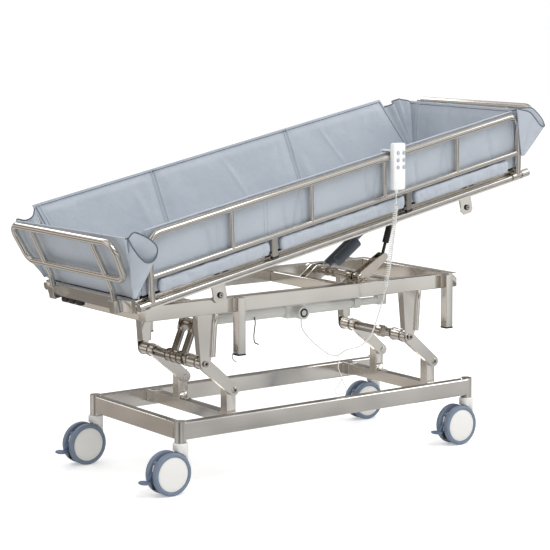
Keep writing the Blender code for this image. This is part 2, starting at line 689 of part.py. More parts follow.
side_in = SIDE_OUT - SIDE_T
groove = 0.004
section = [(0.0, SIDE_LOW), (SIDE_T, SIDE_LOW), (SIDE_T, SIDE_LOW + 0.010), (SIDE_T - groove, SIDE_LOW + 0.012),
           (SIDE_T - groove, SIDE_LOW + 0.019), (SIDE_T, SIDE_LOW + 0.021), (SIDE_T, SIDE_LOW + 0.026),
           (SIDE_T - groove, SIDE_LOW + 0.028), (SIDE_T - groove, SIDE_LOW + 0.035),
           (SIDE_T, SIDE_LOW + 0.037), (SIDE_T, SIDE_HIGH), (0.0, SIDE_HIGH)]
plate_out = FRAME_OUT + 0.0095
for side, sign in (("near", -1), ("far", 1)):
    ob = plate("deck_side_" + side, section, [], 0.0, DECK_L)
    turn = Matrix(((0, 1, 0, -TILT_S), (sign, 0, 0, sign * side_in), (0, 0, 1, -TILT_H), (0, 0, 0, 1)))
    ob.data.transform(turn)
    if turn.determinant() < 0:
        ob.data.flip_normals()
    extras = [rod("rod", d(GUARD_S0 - 0.020, sign * ROD_Y, 0.0), d(GUARD_S1 + 0.020, sign * ROD_Y, 0.0), ROD_R, 16)]
    for s0, s1 in ((GUARD_S0 - 0.0155 - KNOB_L, GUARD_S0 - 0.0155), (GUARD_S1 + 0.0155, GUARD_S1 + 0.0155 + KNOB_L)):
        extras.append(rod("knob", d(s0, sign * ROD_Y, 0.0), d(s1, sign * ROD_Y, 0.0), KNOB_R, 16))
    for s in (0.60, 1.20):
        y0, y1 = sorted((sign * (SIDE_OUT - 0.002), sign * (ROD_Y + 0.002)))
        extras.append(deck_box("bearer", s - 0.012, s + 0.012, y0, y1, -0.006, 0.006))
    for s in (TILT_S, HOOK_S):
        y0, y1 = sorted((sign * (plate_out - SHEET), sign * plate_out))
        ear = [(s - 0.028 - TILT_S, SIDE_LOW + 0.001 - TILT_H), (s - 0.028 - TILT_S, -0.012),
               (s - 0.018 - TILT_S, -0.025), (s + 0.018 - TILT_S, -0.025),
               (s + 0.028 - TILT_S, -0.012), (s + 0.028 - TILT_S, SIDE_LOW + 0.001 - TILT_H)]
        extras.append(plate("ear", ear, [], y0, y1))
        for edge in (-0.028, 0.024):
            ya, yb = sorted((sign * (FRAME_OUT + 0.0025), sign * (plate_out - 0.001)))
            extras.append(deck_box("ear fold", s + edge, s + edge + SHEET, ya, yb,
                                   TILT_H - 0.012, SIDE_LOW + 0.001))
        extras.append(rod("pivot pin", d(s, sign * (FRAME_OUT - 0.016), TILT_H),
                          d(s, sign * (plate_out - 0.001), TILT_H), PIN_R, 16))
        head = sorted((sign * (plate_out - 0.001), sign * (plate_out + BOLT_H)), key=abs)
        extras.append(rod("pivot head", d(s, head[0], TILT_H), d(s, head[1], TILT_H), BOLT_R, 14,
                          BOLT_R * 0.8))
    put(combine(ob, extras), STEEL, deck)

in_y = side_in - GAP
for name, s0, s1, h1, sign in (("deck_end_foot", -0.010, 0.014, SIDE_HIGH, -1),
                               ("deck_end_head", DECK_L - 0.014, DECK_L + 0.010, SIDE_HIGH, 1)):
    end = deck_box(name, s0, s1, -in_y, in_y, SIDE_LOW, h1, 0.002)
    face = s0 if sign < 0 else s1
    blocks = []
    bores = []
    stem_s = face + sign * (SOCKET / 2 - 0.004)
    for y in (-END_STEM_Y, END_STEM_Y):
        a, b = sorted((face - sign * 0.002, face + sign * (SOCKET - 0.008)))
        blocks.append(deck_box("socket", a, b, y - SOCKET / 2, y + SOCKET / 2, SIDE_LOW, SIDE_HIGH, 0.002))
        bores.append(rod("bore", d(stem_s, y, SIDE_LOW + 0.006), d(stem_s, y, SIDE_HIGH + 0.02),
                         MID_R + RUN, 14))
    combine(end, blocks)
    combine(end, bores, "DIFFERENCE")
    put(end, STEEL, deck)

link_at = to_deck(LINK_TOP_X, LINK_TOP_Z)
drive_at = to_deck(TILT_TOP_X, TILT_TOP_Z)
deck_s = (0.300, link_at[0] + TILT_S, drive_at[0] + TILT_S + 0.03, 1.500)
pan = deck_box("deck_pan", 0.014 + GAP, DECK_L - 0.014 - GAP, -in_y, in_y, SIDE_LOW + 0.030, SIDE_LOW + 0.033)
ribs = []
for s in deck_s:
    ribs.append(deck_box("rib", s - 0.015, s + 0.015, -in_y, in_y, SIDE_LOW, SIDE_LOW + 0.031, 0.002))
for at, y, half in ((link_at, CRANK_Y, LUG_HALF), (drive_at, TILT_ACT_Y, 0.022)):
    low = at[1] + TILT_H
    for k in (-1, 1):
        a, b = sorted((y + k * half, y + k * (half + 0.005)))
        ribs.append(plate("lug", [(at[0] - 0.016, at[1] - 0.012), (at[0] + 0.016, at[1] - 0.012),
                                  (at[0] + 0.022, SIDE_LOW + 0.004 - TILT_H),
                                  (at[0] - 0.022, SIDE_LOW + 0.004 - TILT_H)], [], a, b))
put(combine(pan, ribs), STEEL, deck)

# Tilt gear: a crank on a cross shaft with its link to the deck, and an actuator beside it
shaft = rod("tilt_shaft", (SHAFT_X, CRANK_Y - 0.024, SHAFT_Z), (SHAFT_X, 0.105, SHAFT_Z), SHAFT_R, 16)
extras = []
crank_end = (SHAFT_X + CRANK_DX, SHAFT_Z + CRANK_DZ)
for k in (-1, 1):
    a, b = sorted((CRANK_Y + k * 0.0135, CRANK_Y + k * 0.0185))
    extras.append(plate("crank", capsule((SHAFT_X, SHAFT_Z), crank_end, 0.021, 0.014), [], a, b))
for y in (-0.150, -0.060, -0.020, 0.090):
    extras.append(rod("collar", (SHAFT_X, y - 0.008, SHAFT_Z), (SHAFT_X, y + 0.008, SHAFT_Z), 0.018, 16))
put(combine(shaft, extras), CHROME, base, (SHAFT_X, 0.0, SHAFT_Z))

link = rod("tilt_link", (LINK_TOP_X, CRANK_Y, LINK_TOP_Z), (crank_end[0], CRANK_Y, crank_end[1]), 0.006, 16)
mid = [LINK_TOP_X + (crank_end[0] - LINK_TOP_X) * 0.62, LINK_TOP_Z + (crank_end[1] - LINK_TOP_Z) * 0.62]
extras = [rod("cylinder", (LINK_TOP_X, CRANK_Y, LINK_TOP_Z), (mid[0], CRANK_Y, mid[1]), 0.0125, 16),
          rod("top eye", (LINK_TOP_X, CRANK_Y - LUG_HALF + GAP, LINK_TOP_Z), (LINK_TOP_X, CRANK_Y + LUG_HALF - GAP, LINK_TOP_Z),
              0.010, 14),
          rod("low eye", (crank_end[0], CRANK_Y - 0.0125, crank_end[1]), (crank_end[0], CRANK_Y + 0.0125, crank_end[1]),
              0.011, 14)]
put(combine(link, extras), BLACK, base, (LINK_TOP_X, CRANK_Y, LINK_TOP_Z))

root = Vector((SHAFT_X + TILT_ROOT_DX, TILT_ACT_Y, SHAFT_Z + TILT_ROOT_DZ))
tip = Vector((TILT_TOP_X, TILT_ACT_Y, TILT_TOP_Z))
along = (tip - root).normalized()
beside = Vector((0.0, -0.036, 0.0))
case = rod("tilt_actuator", root + along * 0.028, root + along * 0.235, 0.0175, 16)
extras = [rod("tail neck", root + along * 0.009, root + along * 0.032, 0.0100, 14),
          rod("tail eye", root + Vector((0, -0.014, 0)), root + Vector((0, 0.014, 0)), 0.0125, 14),
          rod("tilt motor", root + along * 0.045 + beside, root + along * 0.165 + beside, 0.0215, 16)]
combine(case, extras)
combine(case, [rod("bore", root + along * 0.060, root + along * 0.250, TILT_ROD_R + RUN),
               rod("pin bore", root + Vector((0, -0.02, 0)), root + Vector((0, 0.02, 0)), PIN_R)], "DIFFERENCE")
put(case, SLATE, base, root)
ram = rod("tilt_actuator_rod", root + along * 0.120, tip, TILT_ROD_R, 14)
put(combine(ram, [rod("eye", tip + Vector((0, -0.018, 0)), tip + Vector((0, 0.018, 0)), 0.011, 14)]),
    CHROME, base, tip)

# Fold-down side guards, each turning on its rod, and lift-out end guards
bar_s = (0.399, 0.751, 1.091, 1.450)
sections = ((0.085, 0.561), (0.605, 1.191), (1.236, 1.720))


def lean(side_sign, s, out, t):
    """A place on a side guard: out is square to its plane, away from the tub."""
    y = ROD_Y + t * math.sin(GUARD_LEAN) + out * math.cos(GUARD_LEAN)
    return d(s, side_sign * y, t * math.cos(GUARD_LEAN) - out * math.sin(GUARD_LEAN))


for side, sign in (("near", -1), ("far", 1)):
    corner = [lean(sign, GUARD_S0, 0, 0.011), lean(sign, GUARD_S0, 0, GUARD_T),
              lean(sign, GUARD_S1, 0, GUARD_T), lean(sign, GUARD_S1, 0, 0.011)]
    guard = tube("guard_" + side, rounded(corner, GUARD_BEND, steps=5), GUARD_R)
    extras = [rod("mid rail", lean(sign, GUARD_S0, 0, MID_T), lean(sign, GUARD_S1, 0, MID_T), MID_R, 14)]
    for s in bar_s:
        extras.append(rod("bar", lean(sign, s, 0, MID_T + 0.002), lean(sign, s, 0, GUARD_T - 0.003), BAR_R, 10))
    bores = []
    for s, inward in ((GUARD_S0, 1), (GUARD_S1, -1)):
        extras.append(rod("sleeve", d(s - inward * 0.0145, sign * ROD_Y, 0),
                          d(s + inward * 0.0295, sign * ROD_Y, 0), SLEEVE_R, 16))
    combine(guard, extras)
    combine(guard, [rod("bore", d(-0.1, sign * ROD_Y, 0), d(DECK_L + 0.1, sign * ROD_Y, 0),
                             across_flats(ROD_R + GAP, 16), 16)],
            "DIFFERENCE")
    put(guard, STEEL, deck, d(0.0, sign * ROD_Y, 0.0))

for end, flip in (("foot", False), ("head", True)):
    def e(s, y, h):
        return d(DECK_L - s if flip else s, y, h)
    hoop = [e(-0.0733, -END_HALF, 0.2498), e(-0.0733, END_HALF, 0.2498),
            e(-0.0365, END_HALF - 0.024, 0.110), e(-0.0365, -END_HALF + 0.024, 0.110)]
    guard = tube("guard_" + end, rounded(hoop, 0.034, closed=True, steps=4), GUARD_R, 3, True)
    extras = []
    stem_s = -0.010 - (SOCKET / 2 - 0.004)
    for y in (-END_STEM_Y, END_STEM_Y):
        stem = [e(stem_s, y, SIDE_LOW + 0.0065), e(stem_s, y, 0.064), e(-0.0733, y, 0.2498)]
        extras.append(tube("stem", rounded(stem, 0.030, steps=3), MID_R))
    put(combine(guard, extras), STEEL, deck, e(stem_s, 0.0, 0.0))

# Padded tub: a floor with its end walls, and side walls that fold with the guards
END_PLANE_S = -0.0365
END_SLOPE = 0.0368 / 0.1398
WALL_OFF = 0.0265


def end_wall(h, depth):
    """The end wall's place along the deck at height h, depth inwards from its outer face."""
    return END_PLANE_S - (h - 0.110) * END_SLOPE + WALL_OFF + depth


def sheet_between(name, corners_out, corners_in):
    """A slab between two matching four-cornered faces."""
    bm = bmesh.new()
    bmesh.ops.create_cube(bm, size=2.0)
    for v in bm.verts:
        face = corners_out if v.co.x < 0 else corners_in
        v.co = Vector(face[(0 if v.co.z < 0 else 2) + (0 if v.co.y < 0 else 1)])
    bmesh.ops.recalc_face_normals(bm, faces=bm.faces)
    return keep(name, bm)


floor_low = SIDE_HIGH + 0.0005
floor_y = ROD_Y - 0.0195
tub = deck_box("tub_liner", 0.020, DECK_L - 0.020, -floor_y, floor_y, floor_low, floor_low + FLOOR_T, 0.008, 2)
walls = []
for flip in (False, True):
    rows = []
    for depth in (0.0, WALL_T):
        row = []
        for h in (floor_low, WALL_TOP - 0.022):
            for side_sign in (-1, 1):
                y = ROD_Y + h * math.tan(GUARD_LEAN) - WALL_SEAT / math.cos(GUARD_LEAN)
                s = end_wall(h, depth)
                row.append(d(DECK_L - s if flip else s, side_sign * y, h))
        rows.append(row)
    walls.append(sheet_between("end wall", rows[0], rows[1]))
put(combine(tub, walls), VINYL, deck)

for side, sign in (("near", -1), ("far", 1)):
    corners = []
    for out in (-WALL_SEAT, -WALL_SEAT - WALL_T):
        row = []
        for t in (WALL_T0, WALL_TOP):
            h = t * math.cos(GUARD_LEAN) - out * math.sin(GUARD_LEAN)
            start = end_wall(h, WALL_T + 0.0025)
            for s in (start, DECK_L - start):
                row.append(lean(sign, s, out, t))
        corners.append(row)
    wall = sheet_between("tub_wall_" + side, corners[0], corners[1])
    rolls = []
    for s0, s1 in sections:
        roll = box("roll", s0, s1, -0.017, 0.010, WALL_T0 + 0.001, WALL_T0 + 0.049, 0.010, 2)
        for v in roll.data.vertices:
            v.co = Vector(lean(sign, v.co.x, v.co.y, v.co.z))
        if sign < 0:
            roll.data.flip_normals()
        rolls.append(roll)
    put(combine(wall, rolls), VINYL, deck, d(0.0, sign * ROD_Y, 0.0))

# Handset, hung by its hook over the near guard
hand_x = 0.2155
hand_top = 1.181
guard_y = -(ROD_Y + GUARD_T * math.sin(GUARD_LEAN))
hand_back = guard_y - GUARD_R - GAP
hand_face = hand_back - HAND_T
hand = box("handset", hand_x - HAND_W / 2, hand_x + HAND_W / 2, hand_face, hand_back, hand_top - HAND_L, hand_top,
           0.007, 2)
hook = [box("hook top", hand_x - 0.030, hand_x - 0.008, hand_back - 0.002, guard_y + 0.0348, hand_top - 0.030, hand_top - 0.026),
        box("hook leg", hand_x - 0.030, hand_x - 0.008, guard_y + 0.0308, guard_y + 0.0348, hand_top - 0.070, hand_top - 0.027),
        rod("relief", (hand_x - 0.006, hand_face + HAND_T / 2, hand_top - HAND_L - 0.012),
            (hand_x - 0.006, hand_face + HAND_T / 2, hand_top - HAND_L + 0.005), 0.0045, 16, 0.0070)]
combine(hand, hook)
pockets = []
keys = [(column, row) for row in range(3) for column in range(2)]
for column, row in keys:
    x = hand_x - 0.009 + 0.027 * column
    z = hand_top - 0.036 - 0.026 * row
    pockets.append(rod("pocket", (x, hand_face - 0.005, z), (x, hand_face + 0.005, z), BUTTON_R + GAP, 12))
combine(hand, pockets, "DIFFERENCE")
put(hand, WHITE, base, (hand_x, hand_back, hand_top))
for k, (column, row) in enumerate(keys):
    x = hand_x - 0.009 + 0.027 * column
    z = hand_top - 0.036 - 0.026 * row
    key = rod("handset_button_" + str(k + 1), (x, hand_face + 0.005 - BUTTON_TRAVEL - GAP, z),
              (x, hand_face - 0.0018, z), BUTTON_R, 12, BUTTON_R * 0.93)
    put(key, GREY, base, (x, hand_face, z))


# Cords
def cord(name, route, r, kind, spacing=None, res=2):
    return put(tube(name, smooth(route, spacing or r * 5), r, res), kind, base)


relief = (hand_x - 0.006, hand_face + HAND_T / 2, hand_top - HAND_L - 0.012 - GAP)
curl = smooth([relief, (0.2085, -0.3960, 0.960), (0.2060, -0.3955, 0.925), (0.2010, -0.3890, 0.844),
               (0.1950, -0.3750, 0.733), (0.1890, -0.3590, 0.640), (0.1880, -0.3550, 0.617)], 0.0170)
coil = bpy.data.curves.new("cord_curly", "CURVE")
coil.dimensions = "3D"
coil.bevel_depth = 0.0085
coil.bevel_resolution = 2
coil.render_resolution_u = 0
coil.use_fill_caps = True
line = coil.splines.new("POLY")
line.points.add(len(curl) - 1)
for k, (point, place) in enumerate(zip(line.points, curl)):
    point.co = (*place, 1.0)
    point.radius = 1.0 if 4 <= k <= len(curl) - 2 else 0.26
put(curve_mesh("cord_curly", coil), WHITE, base)
motor_low = Vector((MOTOR_X - 0.006, -0.176, ACT_Z - MOTOR_R - GAP))
away = (curl[-1] - curl[-2]).normalized()
cord("cord_lead", [curl[-1] + away * GAP * 2, curl[-1] + away * 0.014, (0.1870, -0.3450, 0.590), (0.1670, -0.3300, 0.508),
                   (0.1530, -0.3180, 0.464), (0.1310, -0.3050, 0.438), (0.1100, -0.2950, 0.427),
                   (0.0750, -0.2780, 0.418), (0.0530, -0.2550, 0.398), (0.0300, -0.2400, 0.400),
                   (0.0120, -0.2300, 0.412), (-0.0290, -0.2050, 0.452), (-0.0530, -0.1830, 0.492),
                   motor_low + Vector((0.0, 0.0, -0.014)), motor_low],
     0.0025, WHITE, 0.0160)
cord("cord_tail", [(0.0530, -0.2572, 0.3956), (0.0520, -0.2640, 0.380), (0.0480, -0.2640, 0.355), (0.0560, -0.2630, 0.336),
                   (0.0670, -0.2620, 0.312), (0.0520, -0.2620, 0.285), (0.0370, -0.2600, 0.262),
                   (0.0420, -0.2600, 0.256), (0.0650, -0.2600, 0.256), (0.0880, -0.2600, 0.257),
                   (0.0900, -0.2590, 0.263), (0.0790, -0.2570, 0.290), (0.0725, -0.2560, 0.309)],
     0.0016, WHITE, 0.0120)
leg_side = LEG_LEFT - LEG / 2 - GAP * 3
cord("cord_bond", [(leg_side, -0.3000, 0.4700), (leg_side - 0.009, -0.3000, 0.4670), (leg_side - 0.014, -0.3000, 0.4560),
                   (leg_side - 0.008, -0.2990, 0.4420), (leg_side + 0.006, -0.2970, 0.4320)], 0.0020, GREY, 0.0060)
cord("cord_release", [(-0.2350, LEVER_Y - 0.0215, ACT_Z - 0.0070), (-0.2400, -0.1430, 0.530), (-0.2580, -0.1600, 0.491),
                      (-0.2600, -0.1680, 0.466), (-0.2440, -0.1700, 0.457)], 0.0022, BLACK, 0.0070)
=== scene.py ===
# %% [markdown]
# # Dressing a shower trolley
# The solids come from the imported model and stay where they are. This lesson gives each of them the surface
# of the real thing: satin stainless tube, welded vinyl over foam, twin-wheel castors and a curly cord.
# Everything is in metres, +Z up, +X towards the raised head end, and the near side is -Y.

# %% Load the frame
import bpy
import bmesh
import json
import math
from mathutils import Matrix, Vector, noise


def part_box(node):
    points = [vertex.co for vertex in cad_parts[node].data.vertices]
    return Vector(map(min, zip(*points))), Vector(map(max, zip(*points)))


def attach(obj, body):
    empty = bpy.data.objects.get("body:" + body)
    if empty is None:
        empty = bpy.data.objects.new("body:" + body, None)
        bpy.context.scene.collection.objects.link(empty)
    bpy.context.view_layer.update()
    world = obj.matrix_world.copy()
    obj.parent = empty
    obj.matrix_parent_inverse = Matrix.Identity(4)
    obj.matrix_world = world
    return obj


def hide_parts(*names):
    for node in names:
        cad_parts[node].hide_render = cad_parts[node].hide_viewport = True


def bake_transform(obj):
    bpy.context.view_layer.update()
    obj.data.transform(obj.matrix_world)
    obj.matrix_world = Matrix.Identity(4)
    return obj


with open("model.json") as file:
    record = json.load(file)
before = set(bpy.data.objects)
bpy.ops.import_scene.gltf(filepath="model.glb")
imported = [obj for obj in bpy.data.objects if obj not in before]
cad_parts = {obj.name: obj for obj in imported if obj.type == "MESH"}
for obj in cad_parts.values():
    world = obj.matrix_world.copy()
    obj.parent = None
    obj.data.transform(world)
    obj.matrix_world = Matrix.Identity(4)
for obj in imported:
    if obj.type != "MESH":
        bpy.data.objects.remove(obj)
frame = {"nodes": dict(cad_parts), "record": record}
scene = bpy.context.scene
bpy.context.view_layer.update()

# %% [markdown]
# The deck is tilted by 11.6 degrees, so a place on it is easiest to give as a length along the deck, a
# distance across it and a height square to it. One function turns those three numbers into the frame.

# %% Places on the base and on the tilted deck
BASE = Vector((0.01104, 0.0141, 0.0))
TILT = math.radians(11.6)
DECK_ORIGIN = Vector((-0.847, 0.0, 0.664)) + BASE
ALONG = Vector((math.cos(TILT), 0.0, math.sin(TILT)))
SQUARE = Vector((-math.sin(TILT), 0.0, math.cos(TILT)))
DECK_L = 1.800
ROD_Y = 0.3160
LEAN = math.radians(13.0)


def on_deck(s, y, h):
    return DECK_ORIGIN + ALONG * s + Vector((0.0, y, 0.0)) + SQUARE * h


def on_guard(side, s, out, t):
    """A place on a side guard: t up its plane, out square to it and away from the tub."""
    y = ROD_Y + t * math.sin(LEAN) + out * math.cos(LEAN)
    return on_deck(s, side * y, t * math.cos(LEAN) - out * math.sin(LEAN))


print("deck foot end at", [round(v, 3) for v in on_deck(0, 0, 0)])

# %% [markdown]
# Two things are done again and again: an object goes into the scene, and a mesh is ended and shaded.

# %% Objects and meshes
def placed(name, data):
    made = bpy.data.objects.new(name, data)
    scene.collection.objects.link(made)
    return made


def meshed(bm, name, sharp=None):
    """A mesh of what was built; with an angle, smooth but for edges sharper than it."""
    mesh = bpy.data.meshes.new(name)
    bm.to_mesh(mesh)
    bm.free()
    if sharp is not None:
        mesh.shade_smooth()
        mesh.set_sharp_from_angle(angle=math.radians(sharp))
    return mesh


print("object and mesh helpers ready")

# %% [markdown]
# The photograph was taken from far off with a long lens held level, and then framed low, so its uprights
# stay upright. A small vertical shift of the lens gives the same framing.

# %% Camera
# The photograph's side and its focal length are in pixels, the sensor in millimetres.
PHOTO = 550.0
FOCAL = 1950.25
SENSOR = 36.0
camera_data = bpy.data.cameras.new("camera")
camera_data.sensor_width = SENSOR
camera_data.lens = FOCAL * SENSOR / PHOTO
camera_data.shift_y = -150.0 / PHOTO
camera_data.clip_end = 60.0
camera = placed("camera", camera_data)
camera.location = Vector((-4.3199, -5.8411, 1.7070)) + BASE
camera.rotation_euler = (math.radians(90.0 - 3.73), 0.0, math.radians(-36.19))
scene.camera = camera
print("lens", round(camera_data.lens, 1), "mm, shift", round(camera_data.shift_y, 3))

# %% [markdown]
# The studio is a white sweep in a light tent. Steel shows what is around it, so what glossy rays meet is
# the same white background with grey cards in it, as a product photographer sets them: bands of height give
# a tube its dark and light lines, and the cards round the compass shade the flat rails from end to end.

# %% Colours and nodes
def colour(code):
    """sRGB hex to linear, as the shader wants it."""
    parts = [int(code[k:k + 2], 16) / 255.0 for k in (1, 3, 5)]
    return tuple(p / 12.92 if p <= 0.04045 else ((p + 0.055) / 1.055) ** 2.4 for p in parts) + (1.0,)


def add(tree, kind, inputs=None, **settings):
    """One node with its settings, its values and the links that feed it.

    A shader node's kind leaves out "ShaderNode"; a node given as a value stands for its first output."""
    made = tree.nodes.new(kind if "Node" in kind else "ShaderNode" + kind)
    for key, value in settings.items():
        setattr(made, key, value)
    for key, value in (inputs or {}).items():
        value = value.outputs[0] if isinstance(value, bpy.types.Node) else value
        if isinstance(value, bpy.types.NodeSocket):
            tree.links.new(value, made.inputs[key])
        else:
            made.inputs[key].default_value = value
    return made


def ramp(tree, value, stops):
    """A colour ramp from (position, grey or colour) stops."""
    made = add(tree, "ValToRGB", {0: value})
    line = made.color_ramp
    for k, (place, tone) in enumerate(stops):
        stop = line.elements[k] if k < 2 else line.elements.new(place)
        stop.position = place
        stop.color = (*tone, 1.0) if isinstance(tone, tuple) else (tone, tone, tone, 1.0)
    return made


def mirrored_ray(tree, ray):
    """1 where a shiny or a clear surface sent the ray."""
    return add(tree, "Math", {0: ray.outputs["Is Glossy Ray"], 1: ray.outputs["Is Transmission Ray"]},
               operation="MAXIMUM")


print("node helpers ready")

# %% [markdown]
# What a ray finds where no object is depends on its kind: the camera sees plain white, steel sees the cards,
# and everything else is lit by a soft grey sky.

# %% Studio surroundings
world = bpy.data.worlds.new("studio")
scene.world = world
world.use_nodes = True
sky = world.node_tree
sky.nodes.clear()
way = add(sky, "TexCoord")
parts = add(sky, "SeparateXYZ", {0: way.outputs["Generated"]})
height = add(sky, "MapRange", {"Value": parts.outputs["Z"], "From Min": -1.0})
turn = add(sky, "Math", {0: parts.outputs["Y"], 1: parts.outputs["X"]}, operation="ARCTAN2")
compass = add(sky, "MapRange", {"Value": turn, "From Min": -math.pi, "From Max": math.pi})
bands = ramp(sky, height, ((0.0, 0.62), (1.0, 0.72), (0.26, 0.74), (0.33, 0.30), (0.38, 0.34),
                           (0.43, 0.90), (0.53, 1.0), (0.575, 0.80), (0.60, 0.16), (0.655, 0.14),
                           (0.69, 0.95), (0.84, 1.0)))
shade = (0.30, 0.26, 0.22)
dusk = (0.50, 0.47, 0.44)
flags = ramp(sky, compass, ((0.0, 0.95), (1.0, 0.95), (0.075, 0.50), (0.10, shade), (0.135, shade),
                            (0.16, 0.95), (0.24, 1.0), (0.30, 0.60), (0.343, 1.0), (0.362, 1.0),
                            (0.380, 0.72), (0.400, 0.46), (0.46, 1.0), (0.53, 1.0), (0.57, 0.55),
                            (0.66, dusk), (0.73, 0.65), (0.765, 0.95),
                            (0.815, (0.70, 0.64, 0.58)), (0.875, (0.90, 0.84, 0.78)), (0.93, 1.0)))
mirrored = add(sky, "Mix", {"Factor": 1.0, 6: bands, 7: flags}, data_type="RGBA", blend_type="MULTIPLY")
soft_sky = ramp(sky, height, ((0.40, 0.50), (0.75, 0.86), (0.55, 0.66)))
lit = add(sky, "Background", {"Color": soft_sky, "Strength": 0.95})
white = add(sky, "Background", {"Color": (1.0, 1.0, 1.0, 1.0), "Strength": 1.0})
tent = add(sky, "Background", {"Color": mirrored.outputs[2], "Strength": 1.0})
ray = add(sky, "LightPath")
glossy = add(sky, "MixShader", {0: mirrored_ray(sky, ray), 1: lit, 2: tent})
pick = add(sky, "MixShader", {0: ray.outputs["Is Camera Ray"], 1: glossy, 2: white})
add(sky, "OutputWorld", {0: pick})
print("surroundings have", len(sky.nodes), "nodes")

# %% [markdown]
# Three large soft lamps model the form. The floor is a white paper sweep: it takes soft shadows, glows enough
# to stay white in the picture, and lets mirrored rays through, so that steel sees only the cards.

# %% Lamps and floor
LAMPS = (("key", (-0.3, -3.2, 4.2), 0.7, (3.5, 2.0), 84),
         ("fill", (3.6, -1.8, 2.8), 0.6, (2.0, 3.0), 40),
         ("back", (0.5, 3.6, 3.2), 0.9, (3.5, 1.5), 39))
for name, place, aim_z, size, power in LAMPS:
    data = bpy.data.lights.new(name, "AREA")
    data.shape = "RECTANGLE"
    data.size, data.size_y = size
    data.energy = power
    made = placed(name, data)
    made.location = place
    made.rotation_euler = (Vector((0, 0, aim_z)) - Vector(place)).to_track_quat("-Z", "Y").to_euler()
bm = bmesh.new()
bmesh.ops.create_grid(bm, x_segments=1, y_segments=1, size=14.0)
floor = placed("studio_floor", meshed(bm, "studio_floor"))
floor.location = (0, 0, -0.0005)
paper = bpy.data.materials.new("white paper sweep")
paper.use_nodes = True
tree = paper.node_tree
tree.nodes.clear()
diffuse = add(tree, "BsdfDiffuse", {"Color": (0.93, 0.93, 0.93, 1.0)})
glow = add(tree, "Emission", {"Color": (1.0, 1.0, 1.0, 1.0), "Strength": 0.36})
both = add(tree, "AddShader", {0: diffuse, 1: glow})
path = add(tree, "LightPath")
seen = add(tree, "MixShader", {0: path.outputs["Is Camera Ray"], 1: diffuse, 2: both})
clear = add(tree, "BsdfTransparent")
mixed = add(tree, "MixShader", {0: mirrored_ray(tree, path), 1: seen, 2: clear})
add(tree, "OutputMaterial", {0: mixed})
floor.data.materials.append(paper)
scene.view_settings.view_transform = "Standard"
print("studio ready")

# %% [markdown]
# ## Finishes
# Each finish is what the real maker bought: satin stainless tube, polished shafts, welded vinyl, moulded
# nylon and rubber. Patterns are drawn on Object coordinates, because every piece's own zero is the frame's.

# %% Finishes
def finish(name, code, rough, metal=0.0, spec=0.5):
    mat = bpy.data.materials.new(name)
    mat.use_nodes = True
    shader = mat.node_tree.nodes["Principled BSDF"]
    shader.inputs["Base Color"].default_value = colour(code)
    shader.inputs["Roughness"].default_value = rough
    shader.inputs["Metallic"].default_value = metal
    shader.inputs["Specular IOR Level"].default_value = spec
    return mat, mat.node_tree, shader


def cloudy(tree, where, scale, detail):
    return add(tree, "TexNoise", {"Vector": where, "Scale": scale, "Detail": detail})


def relief(tree, height, strength, distance, under=None):
    """A bump, laid over another one when given."""
    made = add(tree, "Bump", {"Height": height, "Strength": strength, "Distance": distance})
    if under:
        tree.links.new(under.outputs[0], made.inputs["Normal"])
    return made


def vary(tree, shader, tone, codes, sheen, rough, bumps):
    """Colour follows one pattern, roughness another or the same, over the relief."""
    tint = add(tree, "Mix", {"Factor": tone, 6: colour(codes[0]), 7: colour(codes[1])}, data_type="RGBA")
    gloss = add(tree, "MapRange", {"Value": sheen, "To Min": rough[0], "To Max": rough[1]})
    for output, entry in ((tint.outputs[2], "Base Color"), (gloss.outputs[0], "Roughness"),
                          (bumps.outputs[0], "Normal")):
        tree.links.new(output, shader.inputs[entry])


def brushed(name, grain, codes=("#DEDAD3", "#E7E3DD"), rough=(0.15, 0.22), sway=0.0065):
    """Satin stainless: fine grinding lines along the bar (grain is how many lie along X, Y and Z) on sheet
    that is never quite flat, so that it shows slow light and dark patches."""
    mat, tree, shader = finish(name, codes[0], 0.3, 1.0)
    where = add(tree, "TexCoord").outputs["Object"]
    lines = cloudy(tree, add(tree, "Mapping", {"Vector": where, "Scale": grain}), 1.0, 3.0)
    waves = relief(tree, cloudy(tree, where, 3.4, 1.0), 1.0, sway)
    vary(tree, shader, lines, codes, lines, rough, relief(tree, lines, 0.05, 0.0003, waves))
    return mat


steel_along = brushed("satin stainless, ground lengthways", (6, 240, 240))
steel_across = brushed("satin stainless, ground crossways", (240, 6, 240))
tube_steel = brushed("polished stainless tube", (60, 60, 60), ("#D3CEC7", "#DBD7D0"), (0.10, 0.15), 0.0)
bright_steel = brushed("hard-polished stainless shaft", (80, 80, 80), ("#B9B2A9", "#C9C3BB"), (0.07, 0.12),
                       0.0)


def moulded(name, codes, rough, scale=900.0, bump=0.05, spec=0.5):
    """Moulded plastic: a fine even grain of the tool's surface."""
    mat, tree, shader = finish(name, codes[0], rough[0], 0.0, spec)
    grain = cloudy(tree, add(tree, "TexCoord").outputs["Object"], scale, 2.0)
    vary(tree, shader, grain, codes, grain, rough, relief(tree, grain, bump, 0.0002))
    return mat


